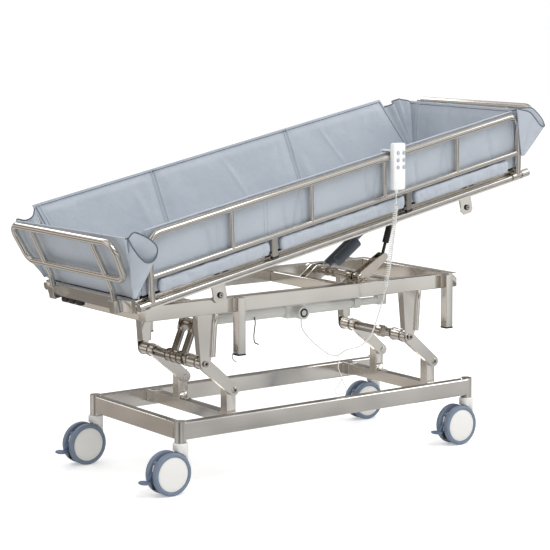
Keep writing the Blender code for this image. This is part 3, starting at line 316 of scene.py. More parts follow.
ivory = moulded("moulded ivory nylon", ("#E6E5E1", "#ECEBE8"), (0.30, 0.38))
tread = moulded("grey-blue polyurethane tread", ("#6F7D91", "#79869A"), (0.45, 0.55), 500.0, 0.12)
pedal_blue = moulded("blue-grey nylon pedal", ("#5A6B84", "#64758E"), (0.40, 0.50))
# Black rubber for the hook, seals, stops, feet and cable; the same black is also painted shade inside the
# bolt sockets.
rubber_and_socket_shade = moulded("black rubber", ("#161616", "#212121"), (0.45, 0.60), 600.0, 0.12)
housing = moulded("light grey painted aluminium", ("#CFCFCB", "#D9D9D5"), (0.30, 0.40), 400.0, 0.04)
slate = moulded("slate painted aluminium", ("#59616D", "#646D79"), (0.35, 0.45), 400.0, 0.04)
abs_white = moulded("white ABS", ("#E9EBEB", "#F1F2F2"), (0.28, 0.34), 1200.0, 0.03)
key_grey = moulded("pale grey silicone key", ("#C3C8CC", "#CDD1D5"), (0.40, 0.48), 1200.0, 0.03)
print("rigid finishes made")

# %% [markdown]
# The tub is welded from one coated fabric. Its piping on the corner webs and round the mouths of the cone and
# the pocket is a darker vinyl, and the same dark colour is painted shade of the groove under the wall piping.
# Slow ripples under the leather grain break up the light on the large panels.

# %% Vinyl
def coated(name, codes, rough):
    """PVC-coated fabric: a faint leather grain, slow ripples under it and soft changes of tone."""
    mat, tree, shader = finish(name, codes[0], rough[0], 0.0, 0.45)
    where = add(tree, "TexCoord").outputs["Object"]
    ripples = cloudy(tree, where, 17.0, 3.0)
    fine = relief(tree, cloudy(tree, where, 1400.0, 1.0), 0.10, 0.0003, relief(tree, ripples, 0.45, 0.009))
    vary(tree, shader, cloudy(tree, where, 6.0, 3.0), codes, ripples, rough, fine)
    return mat


vinyl = coated("welded PVC-coated fabric", ("#AAB1BB", "#B9C0C8"), (0.28, 0.40))
# Dark vinyl: real piping on the corner webs and round the cone and pocket mouths, and painted shade along the
# groove under the piping of the walls.
dark_piping_and_groove_shade = coated("dark PVC piping and painted groove shade", ("#4F5966", "#5C6673"), (0.38, 0.48))
print("vinyl made")

# %% [markdown]
# ## Rigid pieces that keep the model's own shape
# Rails, arms and plates already have their true form. A merged copy of each gets soft corners in its
# shading: faces that meet gently shade as one, and weighted normals keep the flats flat.

# %% Dress the rigid solids
body_of_node = {n: b for b, group in frame["record"]["behaviour"]["bodies"].items() for n in group}
slot_of_node = {p["node"]: p["material_slot"] for p in frame["record"]["subparts"]}


def finished(name, mesh, mat, node, slot, stands_in=False):
    """A piece whose place is in its mesh. It rides with a node's body when it rides on one body alone."""
    made = placed(name, mesh)
    if mat is not None and mesh.materials:
        mesh.materials[0] = mat
    elif mat is not None:
        mesh.materials.append(mat)
    if node:
        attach(made, body_of_node[node])
    if stands_in:
        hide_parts(node)
    return made


def fitted(name, shapes, node, slot, smooth=40.0):
    """Several meshes as one piece, each with its own finish; it rides with the node's body."""
    finishes = list(dict.fromkeys(mat for shape, mat in shapes))
    bm = bmesh.new()
    for shape, mat in shapes:
        for face in shape.polygons:
            face.material_index = finishes.index(mat)
        bm.from_mesh(shape)
    bmesh.ops.recalc_face_normals(bm, faces=bm.faces)
    mesh = meshed(bm, name, smooth)
    for mat in finishes:
        mesh.materials.append(mat)
    return finished(name, mesh, None, node, slot)


def dress(node, mat, angle=50.0):
    """A merged copy of a node's solid, in its place."""
    bm = bmesh.new()
    bm.from_mesh(frame["nodes"][node].data)
    bmesh.ops.remove_doubles(bm, verts=bm.verts, dist=0.00002)
    bmesh.ops.dissolve_limit(bm, angle_limit=math.radians(0.5), verts=bm.verts, edges=bm.edges)
    mesh = meshed(bm, node + "_skin", angle)
    made = finished(node + "_skin", mesh, mat, node, slot_of_node[node], True)
    shading = made.modifiers.new("Flat faces stay flat", "WEIGHTED_NORMAL")
    shading.keep_sharp = True
    shading.weight = 80
    return made


looks = {
    steel_along: ["base_rail_near", "base_rail_far", "frame_rail_near", "frame_rail_far", "deck_side_near",
                  "deck_side_far", "deck_pan", "lift_arm_left_near", "lift_arm_left_far",
                  "lift_arm_right_near", "lift_arm_right_far"],
    steel_across: ["base_end_rail", "base_cross_left", "base_cross_right", "frame_cross_foot",
                   "frame_cross_left", "frame_cross_right", "frame_cross_head", "frame_cross_mid",
                   "deck_end_foot", "deck_end_head"],
    bright_steel: ["lift_tube_left", "lift_tube_right", "lift_actuator_rod", "tilt_shaft",
                   "tilt_actuator_rod"],
    housing: ["lift_actuator"],
    slate: ["tilt_actuator"],
    rubber_and_socket_shade: ["tilt_link"],
}
for mat, names in looks.items():
    for name in names:
        dress(name, mat)
print("dressed", sum(len(v) for v in looks.values()), "solids")

# %% [markdown]
# ## Bent tube
# The guards are 25 mm tube bent round a former. A curve with a round bevel is that tube: a run of straight
# points with an arc at each corner. It is turned into a mesh, so that several tubes can be one piece.

# %% Tube helpers
def bent(points, radius, closed=False, steps=12):
    """The line through the points with an arc at each corner."""
    points = [Vector(p) for p in points]
    count = len(points)
    out = []
    for k, here in enumerate(points):
        if not closed and k in (0, count - 1):
            out.append(here)
            continue
        before = (points[k - 1] - here).normalized()
        after = (points[(k + 1) % count] - here).normalized()
        half = before.angle(after) / 2
        centre = here + (before + after).normalized() * (radius / math.sin(half))
        start = here + before * (radius / math.tan(half)) - centre
        end = here + after * (radius / math.tan(half)) - centre
        out += [centre + start.slerp(end, i / steps).normalized() * radius for i in range(steps + 1)]
    return out


def plain(made):
    """The evaluated shape as a mesh of its own; the helper object goes."""
    bpy.context.view_layer.update()
    mesh = bpy.data.meshes.new_from_object(made.evaluated_get(bpy.context.evaluated_depsgraph_get()))
    mesh.transform(made.matrix_world)
    bpy.data.objects.remove(made, do_unlink=True)
    return mesh


def tube(name, points, r, res=6, closed=False):
    """A round tube along the points, as a mesh."""
    curve = bpy.data.curves.new(name, "CURVE")
    curve.dimensions = "3D"
    curve.bevel_depth = r
    curve.bevel_resolution = res
    curve.use_fill_caps = not closed
    line = curve.splines.new("POLY")
    line.points.add(len(points) - 1)
    for point, place in zip(line.points, points):
        point.co = (*place, 1.0)
    line.use_cyclic_u = closed
    return plain(placed(name, curve))


def joined(name, meshes, smooth=40.0):
    """Several meshes as one, their doubled vertices merged."""
    bm = bmesh.new()
    for mesh in meshes:
        bm.from_mesh(mesh)
    bmesh.ops.remove_doubles(bm, verts=bm.verts, dist=0.000005)
    return meshed(bm, name, smooth)


print("tube helpers ready")

# %% [markdown]
# The upright bars of a guard repeat along its rails. A small Geometry Nodes tree puts a cylinder on every
# point of a mesh, with its radius, length and direction as inputs, and realises the copies.

# %% Geometry Nodes: a rod on every point
rods_tree = bpy.data.node_groups.new("rod on every point", "GeometryNodeTree")
face = rods_tree.interface
face.new_socket("Geometry", in_out="INPUT", socket_type="NodeSocketGeometry")
inputs = {}
for label, kind, value in (("Radius", "NodeSocketFloat", 0.0085), ("Length", "NodeSocketFloat", 0.15),
                           ("Sides", "NodeSocketInt", 24), ("Direction", "NodeSocketVector", (0, 0, 1)),
                           ("Finish", "NodeSocketMaterial", None)):
    socket = face.new_socket(label, in_out="INPUT", socket_type=kind)
    if value is not None:
        socket.default_value = value
    inputs[label] = socket.identifier
face.new_socket("Geometry", in_out="OUTPUT", socket_type="NodeSocketGeometry")
given = {socket.name: socket for socket in add(rods_tree, "NodeGroupInput").outputs if socket.name}
body = add(rods_tree, "GeometryNodeMeshCylinder", {"Vertices": given["Sides"], "Radius": given["Radius"],
                                                   "Depth": given["Length"]})
aimed = add(rods_tree, "FunctionNodeAlignRotationToVector", {"Vector": given["Direction"]}, axis="Z")
copies = add(rods_tree, "GeometryNodeInstanceOnPoints", {"Points": given["Geometry"],
                                                         "Instance": body.outputs["Mesh"], "Rotation": aimed})
real = add(rods_tree, "GeometryNodeRealizeInstances", {0: copies})
painted = add(rods_tree, "GeometryNodeSetMaterial", {"Geometry": real, "Material": given["Finish"]})
add(rods_tree, "NodeGroupOutput", {0: painted})


def rods(name, places, r, length, direction, mat, sides=24):
    """A cylinder about every place, all of one size and direction."""
    mesh = bpy.data.meshes.new(name)
    mesh.from_pydata([tuple(p) for p in places], [], [])
    helper = placed(name, mesh)
    grow = helper.modifiers.new("Rods", "NODES")
    grow.node_group = rods_tree
    values = {"Radius": r, "Length": length, "Sides": sides, "Direction": tuple(direction), "Finish": mat}
    for label, value in values.items():
        grow[inputs[label]] = value
    return plain(helper)


print("rod tree has", len(rods_tree.nodes), "nodes")

# %% [markdown]
# ## Side guards
# A top tube bent down at both ends, a thinner middle rail and four bars, welded, turning on the long rod.

# %% Side guards
# R is a radius, T a height up the guard's plane, and S0 and S1 are its ends along the deck.
GUARD_R = 0.0125
GUARD_T = 0.252
MID_T = 0.097
S0 = 0.055
S1 = 1.770
BARS = (0.399, 0.751, 1.091, 1.450)


def rod_mesh(name, a, b, r, sides=32):
    a, b = Vector(a), Vector(b)
    return rods(name, [(a + b) / 2], r, (b - a).length, b - a, None, sides)


for side, sign in (("near", -1), ("far", 1)):
    corners = [on_guard(sign, S0, 0, 0.009), on_guard(sign, S0, 0, GUARD_T),
               on_guard(sign, S1, 0, GUARD_T), on_guard(sign, S1, 0, 0.009)]
    shapes = [tube("bow", bent(corners, 0.050), GUARD_R, 8)]
    shapes.append(rod_mesh("mid rail", on_guard(sign, S0, 0, MID_T), on_guard(sign, S1, 0, MID_T), 0.0105))
    middle = [on_guard(sign, s, 0, (MID_T + GUARD_T) / 2) for s in BARS]
    upward = on_guard(sign, 1, 0, 1) - on_guard(sign, 1, 0, 0)
    shapes.append(rods("bars", middle, 0.0085, GUARD_T - MID_T, upward, None))
    for s, inward in ((S0, 1), (S1, -1)):
        a = on_deck(s - inward * 0.0145, sign * ROD_Y, 0)
        b = on_deck(s + inward * 0.0295, sign * ROD_Y, 0)
        shapes.append(rod_mesh("sleeve", a, b, 0.0120))
    name = "guard_" + side
    made = finished(name + "_tubes", joined(name + "_tubes", shapes), tube_steel, name, "stainless", True)
    print("guard", side, len(made.data.polygons), "faces")

# %% [markdown]
# Each end guard is a closed hoop that leans outwards on two bent stems, which stand in the deck's sockets.

# %% End guards
for end, flip in (("foot", False), ("head", True)):
    def place(s, y, h):
        return on_deck(DECK_L - s if flip else s, y, h)
    ring = [place(-0.0733, -0.350, 0.2498), place(-0.0733, 0.350, 0.2498),
            place(-0.0365, 0.326, 0.110), place(-0.0365, -0.326, 0.110)]
    shapes = [tube("hoop", bent(ring, 0.042, True), GUARD_R, 8, True)]
    for y in (-0.207, 0.207):
        stem = [place(-0.025, y, -0.015), place(-0.025, y, 0.064), place(-0.0733, y, 0.2498)]
        shapes.append(tube("stem", bent(stem, 0.045), 0.0105, 8))
    name = "guard_" + end
    finished(name + "_tubes", joined(name + "_tubes", shapes), tube_steel, name, "stainless", True)
print("end guards made")

# %% [markdown]
# ## Padded tub
# Welded vinyl over a thin foam: the side walls fold down with the guards, the end walls stay. Each wall is
# a grid whose points are pushed in and out by a rule: full panels, welded seams between them, and creases.

# %% Sheet helper
def grid_mesh(name, across, up, rule):
    """A grid of faces over u and v from 0 to 1, placed by a rule."""
    bm = bmesh.new()
    rows = [[bm.verts.new(rule(i / across, j / up)) for i in range(across + 1)] for j in range(up + 1)]
    for j in range(up):
        for i in range(across):
            bm.faces.new((rows[j][i], rows[j][i + 1], rows[j + 1][i + 1], rows[j + 1][i]))
    return meshed(bm, name)


def shares(count):
    """Even steps from 0 to 1."""
    return [k / count for k in range(count + 1)]


def slab(name, front, back, columns, up):
    """A padded wall: a front and a back grid over the same columns of u, joined round their rims."""
    bm = bmesh.new()
    sides = []
    for rule in (front, back):
        sides.append([[bm.verts.new(rule(u, j / up)) for u in columns] for j in range(up + 1)])
    for rows, turned in zip(sides, (False, True)):
        for j in range(up):
            for i in range(len(columns) - 1):
                loop = [rows[j][i], rows[j][i + 1], rows[j + 1][i + 1], rows[j + 1][i]]
                bm.faces.new(loop[::-1] if turned else loop)
    rim, other = [rows[0][:-1] + [row[-1] for row in rows[:-1]] + rows[-1][:0:-1]
                  + [row[0] for row in rows[:0:-1]] for rows in sides]
    for corners in zip(rim, other, other[1:] + other[:1], rim[1:] + rim[:1]):
        bm.faces.new(corners)
    bmesh.ops.recalc_face_normals(bm, faces=bm.faces)
    return meshed(bm, name, 60)


def bump(x, centre, width):
    """A soft hill of height 1 about the centre."""
    return math.exp(-((x - centre) / width) ** 2)


def step(x):
    """0 below 0, 1 above 1 and a soft rise between."""
    x = max(0.0, min(1.0, x))
    return x ** 2 * (3 - 2 * x)


def hemmed(name, node, up, across, edge, face, inset, radii):
    """Piping round a wall's open edges, with a thin dark line a little way in that is painted shade of the
    groove under the piping.
    """
    rim = [(0.0, k / up) for k in range(up)] + [(k / across, 1.0) for k in range(across + 1)]
    rim += [(1.0, k / up) for k in range(up - 1, -1, -1)]
    # Painted shade: a thin dark tube just inside the piping stands for the shadow in the groove under it.
    painted_groove_shade = [face(min(max(u, inset[0]), 1 - inset[0]), min(v, 1 - inset[1])) for u, v in rim]
    fitted(name, [(tube("piping", [edge(u, v) for u, v in rim], radii[0], 3), vinyl),
                  (tube("stitch line", painted_groove_shade, radii[1], 2), dark_piping_and_groove_shade)], node, "vinyl", 80)


print("sheet helpers ready")

# %% [markdown]
# Each side wall has three panels between two welded seams, with puffs, creases and piping. Under it lie three
# bolsters: closed rolls that are blown up as cloth, held along their lower edge.

# %% Side walls
# How far in from the guard's plane the wall starts
WALL_SEAT = 0.0128
PANELS = ((0.0, 0.553), (0.566, 1.190), (1.203, 1.9))
SEAMS = (0.5595, 1.1965)
SEAM_U = (0.32, 0.68)
# Creases as (place along the deck, half width, depth, lean)
FOLDS = {-1: ((0.300, 0.018, 0.75, 0.10), (0.345, 0.010, 0.50, -0.06), (0.640, 0.014, 0.55, 0.12),
              (0.690, 0.012, 0.65, -0.10), (0.715, 0.010, 0.50, 0.05), (1.035, 0.012, 0.65, 0.14),
              (1.065, 0.009, 0.55, -0.08), (1.260, 0.010, 0.45, 0.10), (1.395, 0.016, 0.70, -0.12),
              (1.425, 0.010, 0.45, 0.08), (1.640, 0.014, 0.60, 0.16)),
         1: ((0.300, 0.012, 0.40, -0.22), (0.470, 0.020, 0.45, 0.18), (0.620, 0.030, 0.45, -0.20),
             (0.900, 0.012, 0.35, 0.26), (1.090, 0.018, 0.50, -0.16), (1.230, 0.024, 0.45, 0.20),
             (1.400, 0.010, 0.40, 0.24), (1.560, 0.020, 0.40, -0.18))}


def wall_rule(sign, top, t_low, ends, thickness, inner):
    """Where a point of a side wall lies. Puffs and creases only ever push towards the tub."""
    def rule(u, v):
        t = t_low + (top - t_low) * v
        s_a = ends[0][0] + (ends[0][1] - ends[0][0]) * v
        s_b = ends[1][0] + (ends[1][1] - ends[1][0]) * v
        marks = (s_a, SEAMS[0], SEAMS[1], s_b)
        part = 0 if u < SEAM_U[0] else 1 if u < SEAM_U[1] else 2
        u_a, u_b = ((0.0,) + SEAM_U)[part], (SEAM_U + (1.0,))[part]
        s = marks[part] + (marks[part + 1] - marks[part]) * (u - u_a) / (u_b - u_a)
        puff = 0.0
        for a, b in PANELS:
            a, b = max(a, s_a), min(b, s_b)
            if a <= s <= b:
                x = min(s - a, b - s) / 0.045
                y = min(v, 1 - v) / 0.16
                puff = 0.0055 * step(x) * step(y)
        crease = 0.0
        near_fade = step(1.6 * v) * step(1.25 * (1 - v) + 0.2)
        fade = near_fade if sign < 0 else step(2.2 * (1 - v)) * (0.4 + 0.6 * v)
        for centre, width, depth, lean in FOLDS[sign]:
            wander = 0.008 * math.sin(2.6 * v + centre * 31) + 1.6 * lean * (v - 0.5) * (top - t_low)
            crease += depth * 0.012 * bump(s + wander, centre, width * 0.8) * fade
        welt = 0.0
        for seam in SEAMS:
            ridges = bump(s, seam - 0.0075, 0.0026) + bump(s, seam + 0.0075, 0.0026)
            welt += 0.0036 * ridges - 0.0022 * bump(s, seam, 0.003)
        for gap in (0.010, 0.023):
            welt += 0.0026 * bump(s - s_a, gap, 0.0026)
        ripple = 0.0011 * math.sin(s * 23 + 2.0 * v) * math.sin(v * 5.2 + s * 6)
        rim = 0.0030 * (bump(v * (top - t_low), 0.0, 0.004) + bump((1 - v) * (top - t_low), 0.004, 0.004))
        if inner:
            out = -WALL_SEAT - thickness - puff - abs(crease) * 0.8 - welt - ripple - rim + 0.002
        else:
            out = -WALL_SEAT - 0.0015 - abs(crease) - max(0.0, ripple) + 0.6 * max(0.0, welt)
        return on_guard(sign, s, out, t)
    return rule


def inflated(mesh, line, hold, pressure=1.5, frames=12, cap=0.003):
    """Blow a closed cover up as cloth, its vertices near a line held, and none moved further than the cap."""
    made = placed("cloth helper", mesh)
    a, b = line
    way = (b - a).normalized()
    held = made.vertex_groups.new(name="held")
    near = [v.index for v in mesh.vertices if ((v.co - a) - way * (v.co - a).dot(way)).length < hold]
    held.add(near, 1.0, "REPLACE")
    cloth = made.modifiers.new("Cover", "CLOTH")
    fabric = {"quality": 6, "mass": 0.25, "tension_stiffness": 30, "compression_stiffness": 30,
              "bending_stiffness": 6.0, "air_damping": 4.0, "use_pressure": True,
              "uniform_pressure_force": pressure, "shrink_min": -0.004, "vertex_group_mass": "held"}
    for key, value in fabric.items():
        setattr(cloth.settings, key, value)
    cloth.settings.effector_weights.gravity = 0.0
    cloth.point_cache.frame_start = 1
    cloth.point_cache.frame_end = frames
    home = [v.co.copy() for v in mesh.vertices]
    for frame_now in range(1, frames + 1):
        scene.frame_set(frame_now)
    out = plain(made)
    scene.frame_set(1)
    far = 0.0
    for v, start in zip(out.vertices, home):
        moved = v.co - start
        far = max(far, moved.length)
        if moved.length > cap:
            v.co = start + moved * (cap / moved.length)
    bm = bmesh.new()
    bm.from_mesh(out)
    for _ in range(2):
        bmesh.ops.smooth_vert(bm, verts=bm.verts, factor=0.5, use_axis_x=True, use_axis_y=True,
                              use_axis_z=True)
    bm.to_mesh(out)
    bm.free()
    print("cover moved by up to", round(far * 1000, 1), "mm")
    return out


SECTIONS = ((0.085, 0.561), (0.605, 1.191), (1.236, 1.720))
columns = set(shares(340)) | {round(k * 0.0006, 6) for k in range(50)}
for seam in SEAM_U:
    columns |= {round(seam + k * 0.0005, 6) for k in range(-26, 27)}
columns = sorted(columns)
for side, sign, top in (("near", -1, 0.266), ("far", 1, 0.292)):
    ends = ((0.030, 0.044), (1.776, 1.745)) if sign < 0 else ((0.100, 0.038), (1.776, 1.691))
    front = wall_rule(sign, top, 0.032, ends, 0.006, True)
    back = wall_rule(sign, top, 0.032, ends, 0.006, False)
    node = "tub_wall_" + side
    wall = slab(node + "_sheet", front, back, columns, 48)
    finished(node + "_sheet", wall, vinyl, node, "vinyl", True)
    hemmed(node + "_piping", node, 20, 120, lambda u, v: front(u, v).lerp(back(u, v), 0.5), front,
           (0.004, 0.026), (0.0034, 0.0013))
    print("wall", side, len(wall.polygons), "faces")
    for k, (s_a, s_b) in enumerate(SECTIONS):
        def roll(u, v):
            """A closed roll: v goes round it, u along it."""
            ang = 2 * math.pi * v
            s = s_a + (s_b - s_a) * u
            shut = min(u, 1 - u) * (s_b - s_a)
            full = min(1.0, max(0.0, shut) / 0.012) ** 0.40
            place = Vector((s * 26, math.cos(ang) * 0.9 + 3 * k, math.sin(ang) * 0.9 + 5 * sign))
            gather = 1 + 2 * bump(shut, 0.0, 0.05)
            wrinkle = min(0.0018, 0.0034 * noise.noise(place) + 0.0016 * noise.noise(place * 2.7) * gather)
            c, w = math.cos(ang), math.sin(ang)
            lift = abs(c) ** 0.75 * math.copysign(1, c)
            wide = abs(w) ** 0.75 * math.copysign(1, w)
            r_out = (0.0128 + wrinkle) * full
            r_t = (0.0258 + wrinkle) * full
            return on_guard(sign, s, -0.0035 + r_out * wide, 0.0548 + r_t * lift)
        bm = bmesh.new()
        bm.from_mesh(grid_mesh("roll", 150, 28, roll))
        bmesh.ops.remove_doubles(bm, verts=bm.verts, dist=0.00002)
        bmesh.ops.recalc_face_normals(bm, faces=bm.faces)
        mesh = meshed(bm, "roll")
        mesh = inflated(mesh, [on_guard(sign, s_a, -0.004, 0.03), on_guard(sign, s_b, -0.004, 0.03)], 0.011)
        mesh.shade_smooth()
        finished("bolster_%s_%d" % (side, k + 1), mesh, vinyl, node, "vinyl")
print("side walls made")

# %% [markdown]
# The floor pad crowns between three cross channels. The end walls lean out with the end guards; the foot wall
# bellies at its far edge, where its fabric is not drawn tight.

# %% Floor pad and end walls
def ear(v):
    """How far the foot end wall's far edge bellies out between its bottom and its top."""
    return 0.042 * max(0.0, math.sin(math.pi * min(1.0, max(0.0, v)) ** 1.3)) ** 0.6


def end_s(h):
    """Where an end wall's plane lies along the deck at a height."""
    return -0.0365 - (h - 0.110) * (0.0368 / 0.1398) + 0.0265


def floor_rule(height, sign):
    def rule(u, v):
        s = 0.022 + 1.756 * u
        y = (2 * v - 1) * 0.2935
        edge = min(min(s - 0.022, 1.778 - s) / 0.05, (0.2935 - abs(y)) / 0.05)
        crown = step(max(0.0, edge))
        channel = sum(bump(s, c, 0.004) for c in (0.46, 0.90, 1.34)) * 0.004
        soft = 0.0012 * math.sin(s * 17) * math.cos(y * 21)
        h = height + (0.0065 * crown - channel * crown + soft * crown) * (1 if sign > 0 else 0)
        if sign < 0:
            h += 0.006 * (1 - crown)
        return on_deck(s, y, h)
    return rule


pad = slab("tub_floor_pad", floor_rule(0.0485, 1), floor_rule(0.0255, -1), shares(180), 60)
finished("tub_floor_pad", pad, vinyl, "tub_liner", "vinyl", True)

for end, flip, near_top, far_top in (("foot", False, 0.265, 0.254), ("head", True, 0.243, 0.249)):
    near_half = (0.300, 0.084) if end == "foot" else (0.300, 0.044)
    far_half = (0.300, 0.056)

    def wall(depth, side):
        def rule(u, v):
            half = near_half if u < 0.5 else far_half
            near_rise = max(0.0, v) ** (0.85 if end == "foot" else 0.5)
            rise = near_rise if u < 0.5 else min(1.0, max(0.0, v) / 0.25) ** 0.5
            reach = half[0] + half[1] * rise + (ear(v) if end == "foot" and u > 0.5 else 0.0)
            y = (2 * u - 1) * reach
            top_h = near_top + (far_top - near_top) * u
            h = 0.026 + (top_h - 0.026) * v
            s = end_s(h) + depth
            edge = min((reach - abs(y)) / 0.05, (1 - v) / 0.2, v / 0.2)
            puff = 0.0045 * step(max(0.0, edge))
            crease = bump(y, -0.20, 0.03) * (1 - v) + bump(y, 0.11, 0.02) * v + 0.6 * bump(y, 0.24, 0.02)
            welt = 0.0028 * (bump(y, 0.288, 0.004) + bump(y, 0.304, 0.004)) if end == "head" else 0.0
            s += (puff - 0.004 * crease + welt) * (1 if side > 0 else -0.35)
            return on_deck(DECK_L - s if flip else s, y, h)
        return rule
    name = "tub_end_" + end
    padding = slab(name, wall(0.0085, 1), wall(0.0015, -1), shares(160), 44)
    finished(name, padding, vinyl, "tub_liner", "vinyl")
    hemmed(name + "_piping", "tub_liner", 24, 60, wall(0.005, 1), wall(0.0085, 1), (0.008, 0.030),
           (0.0030, 0.0012))
print("floor and end walls made")

# %% [markdown]
# ## Gussets at the four corners
# Where a fold-down wall meets an end wall, the cover is one loose web. With the guard up it lies in pleats;
# with the guard down it is drawn out, so it is blended along the deck from the end wall to the guard. What
# is left over stands outside the near guard: a rolled cone at the foot and a flat pocket at the head.

# %% Smooth rows of places
def spread(points, t):
    """A smooth place along a row of points, t from 0 to 1 (Catmull-Rom)."""
    pts = [Vector(p) for p in points]
    pts = [2 * pts[0] - pts[1]] + pts + [2 * pts[-1] - pts[-2]]
    x = min(max(t, 0.0), 1.0) * (len(pts) - 3)
    k = min(int(x), len(pts) - 4)
    f = x - k
    a, b, c, d = pts[k:k + 4]
    bend = (2 * a - 5 * b + 4 * c - d) * f ** 2 + (3 * b - a - 3 * c + d) * f ** 3
    return 0.5 * (2 * b + (c - a) * f + bend)


FABRIC = 0.0024


def thickened(name, mesh, thickness):
    """A sheet as a closed skin of some thickness, half on each side."""
    holder = placed("cloth helper", mesh)
    thick = holder.modifiers.new("Cloth thickness", "SOLIDIFY")
    thick.thickness = thickness
    thick.offset = 0.0
    out = plain(holder)
    out.name = name
    out.shade_smooth()
    return out


def cloth_place(sign, place):
    """A place on the deck or, where its second number is only how far out it is, on the guard."""
    return on_deck(*place) if abs(place[1]) > 0.2 else on_guard(sign, *place)


def corner_fold(name, sign, columns, across=72, up=30):
    """A web from the end wall (u = 0) to the side wall (u = 1); a column is (low place, high place, bow)."""
    lows, highs = [[cloth_place(sign, column[k]) for column in columns] for k in (0, 1)]
    bows = [(column[2], 0, 0) for column in columns]

    def rule(u, v):
        bow = spread(bows, u).x
        here = spread(lows, u).lerp(spread(highs, u), v)
        inward = Vector((0, -math.copysign(1.0, here.y), 0))
        if name == "gusset_foot_far":
            here -= inward * ear(v) * max(0.0, 1.0 - 4.0 * u)
        return here + inward * bow * v * (1.15 - 0.15 * v) + inward * 0.0012 * math.sin(9 * v + 5 * u)
    top_edge = [rule(k / across, 1.0) for k in range(across + 1)]
    return thickened(name, grid_mesh(name, across, up, rule), FABRIC), top_edge


print("fold helpers ready")

# %% [markdown]
# Each row of the table is one pleat line, from the end wall to the side wall: its low place, its high place
# and how far it bows inwards. The later ones lie on the guard, so that the web meets the wall that folds.

# %% Gussets
corners = {
    ("foot", "near"): [((-0.006, -0.314, 0.036), (-0.0465, -0.384, 0.264), 0.0),
                       ((0.000, -0.318, 0.036), (-0.034, 0.002, 0.268), 0.0),
                       ((0.006, -0.312, 0.036), (-0.018, -0.006, 0.262), 0.006),
                       ((0.012, -0.304, 0.036), (0.000, -0.012, 0.256), 0.002),
                       ((0.020, -0.300, 0.036), (0.016, -0.016, 0.252), 0.008),
                       ((0.036, -0.0165, 0.036), (0.044, -0.0165, 0.250), 0.0)],
    ("foot", "far"): [((-0.004, 0.302, 0.036), (-0.0455, 0.350, 0.248), 0.0),
                      ((0.004, 0.306, 0.036), (-0.030, 0.000, 0.262), 0.0),
                      ((0.012, 0.304, 0.036), (-0.006, -0.010, 0.250), 0.004),
                      ((0.024, 0.300, 0.036), (0.018, -0.016, 0.258), 0.012),
                      ((0.062, -0.0165, 0.036), (0.040, -0.0165, 0.280), 0.0)],
    ("head", "far"): [((1.796, 0.302, 0.036), (1.8385, 0.348, 0.244), 0.0),
                      ((1.790, 0.304, 0.036), (1.826, 0.352, 0.256), 0.003),
                      ((1.786, 0.300, 0.036), (1.800, -0.008, 0.272), -0.002),
                      ((1.783, 0.301, 0.036), (1.782, -0.010, 0.278), 0.022),
                      ((1.780, 0.299, 0.036), (1.760, -0.010, 0.272), -0.002),
                      ((1.777, 0.300, 0.036), (1.740, -0.012, 0.268), 0.024),
                      ((1.772, -0.0165, 0.036), (1.718, -0.014, 0.260), 0.000),
                      ((1.764, -0.0145, 0.036), (1.694, -0.0130, 0.256), 0.0)],
    ("head", "near"): [((1.796, -0.302, 0.036), (1.8375, -0.344, 0.240), 0.0),
                       ((1.791, -0.304, 0.036), (1.824, -0.004, 0.262), 0.0),
                       ((1.786, -0.302, 0.036), (1.800, -0.006, 0.270), 0.008),
                       ((1.781, -0.300, 0.036), (1.776, -0.010, 0.270), -0.002),
                       ((1.776, -0.300, 0.036), (1.745, -0.014, 0.268), 0.008),
                       ((1.768, -0.0165, 0.036), (1.716, -0.0165, 0.262), 0.0)],
}
for (end, side), columns in corners.items():
    sign = -1 if side == "near" else 1
    name = "gusset_%s_%s" % (end, side)
    mesh, top_edge = corner_fold(name, sign, columns)
    piping = tube("piping", top_edge, 0.0026, 3)
    web = []
    for label, shape, mat in ((name, mesh, vinyl), (name + "_piping", piping, dark_piping_and_groove_shade)):
        made = finished(label, shape, mat, None, "vinyl")
        shape.shade_smooth()
        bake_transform(made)
        web.append(made)
    half = sum(f.area for f in mesh.polygons) / 2
    print("gusset", end, side, round(half * 10000), "cm2")

# %% [markdown]
# Along each side a narrow web joins the floor pad to its wall. It stands up as a small ridge when the guard
# is up, and that spare width lets it pass over the hinge rod when the guard hangs down.

# %% Hinge webs
def hinge_rule(sign):
    def rule(u, v):
        s = 0.092 + 1.640 * u
        ridge = 0.0600 + 0.0012 * math.sin(s * 41)
        return spread([on_deck(s, sign * 0.2935, 0.0465), on_deck(s, sign * 0.3005, ridge),
                       on_guard(sign, s, -0.0165, 0.0365)], v)
    return rule


for side, sign in (("near", -1), ("far", 1)):
    name = "hinge_web_" + side
    mesh = thickened(name, grid_mesh(name, 160, 12, hinge_rule(sign)), 0.0018)
    web = finished(name, mesh, vinyl, None, "vinyl")
    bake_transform(web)
    half = sum(f.area for f in mesh.polygons) / 2
    print(name, round(half * 10000), "cm2")

# %% [markdown]
# The cone and the pocket are one rolled shape: a ring at the mouth, drawn down to a narrow foot. Each is of
# the same fabric, with a dark edging round its mouth, and rides on the guard that it hangs over.

# %% Cone at the foot, pocket at the head
def rolled(name, mouth, foot, bulge, up=26, across=72):
    """A rolled flap between a closed ring of places (the mouth) and a small ring (the foot)."""
    ring = mouth + [mouth[0]]
    low = foot + [foot[0]]

    def rule(u, v):
        here = spread(low, u).lerp(spread(ring, u), v)
        outward = here - sum((spread(ring, k / 12) for k in range(12)), Vector()) / 12 * v
        outward -= sum((Vector(p) for p in foot), Vector()) / len(foot) * (1 - v)
        return here + outward.normalized() * bulge * math.sin(math.pi * min(1.0, v)) * (1 - 0.4 * v)
    mesh = grid_mesh(name, across, up, rule)
    rim = [rule(k / across, 1.0) for k in range(across)]
    return thickened(name, mesh, FABRIC), rim


def near_places(rows):
    return [on_guard(-1, *row) for row in rows]


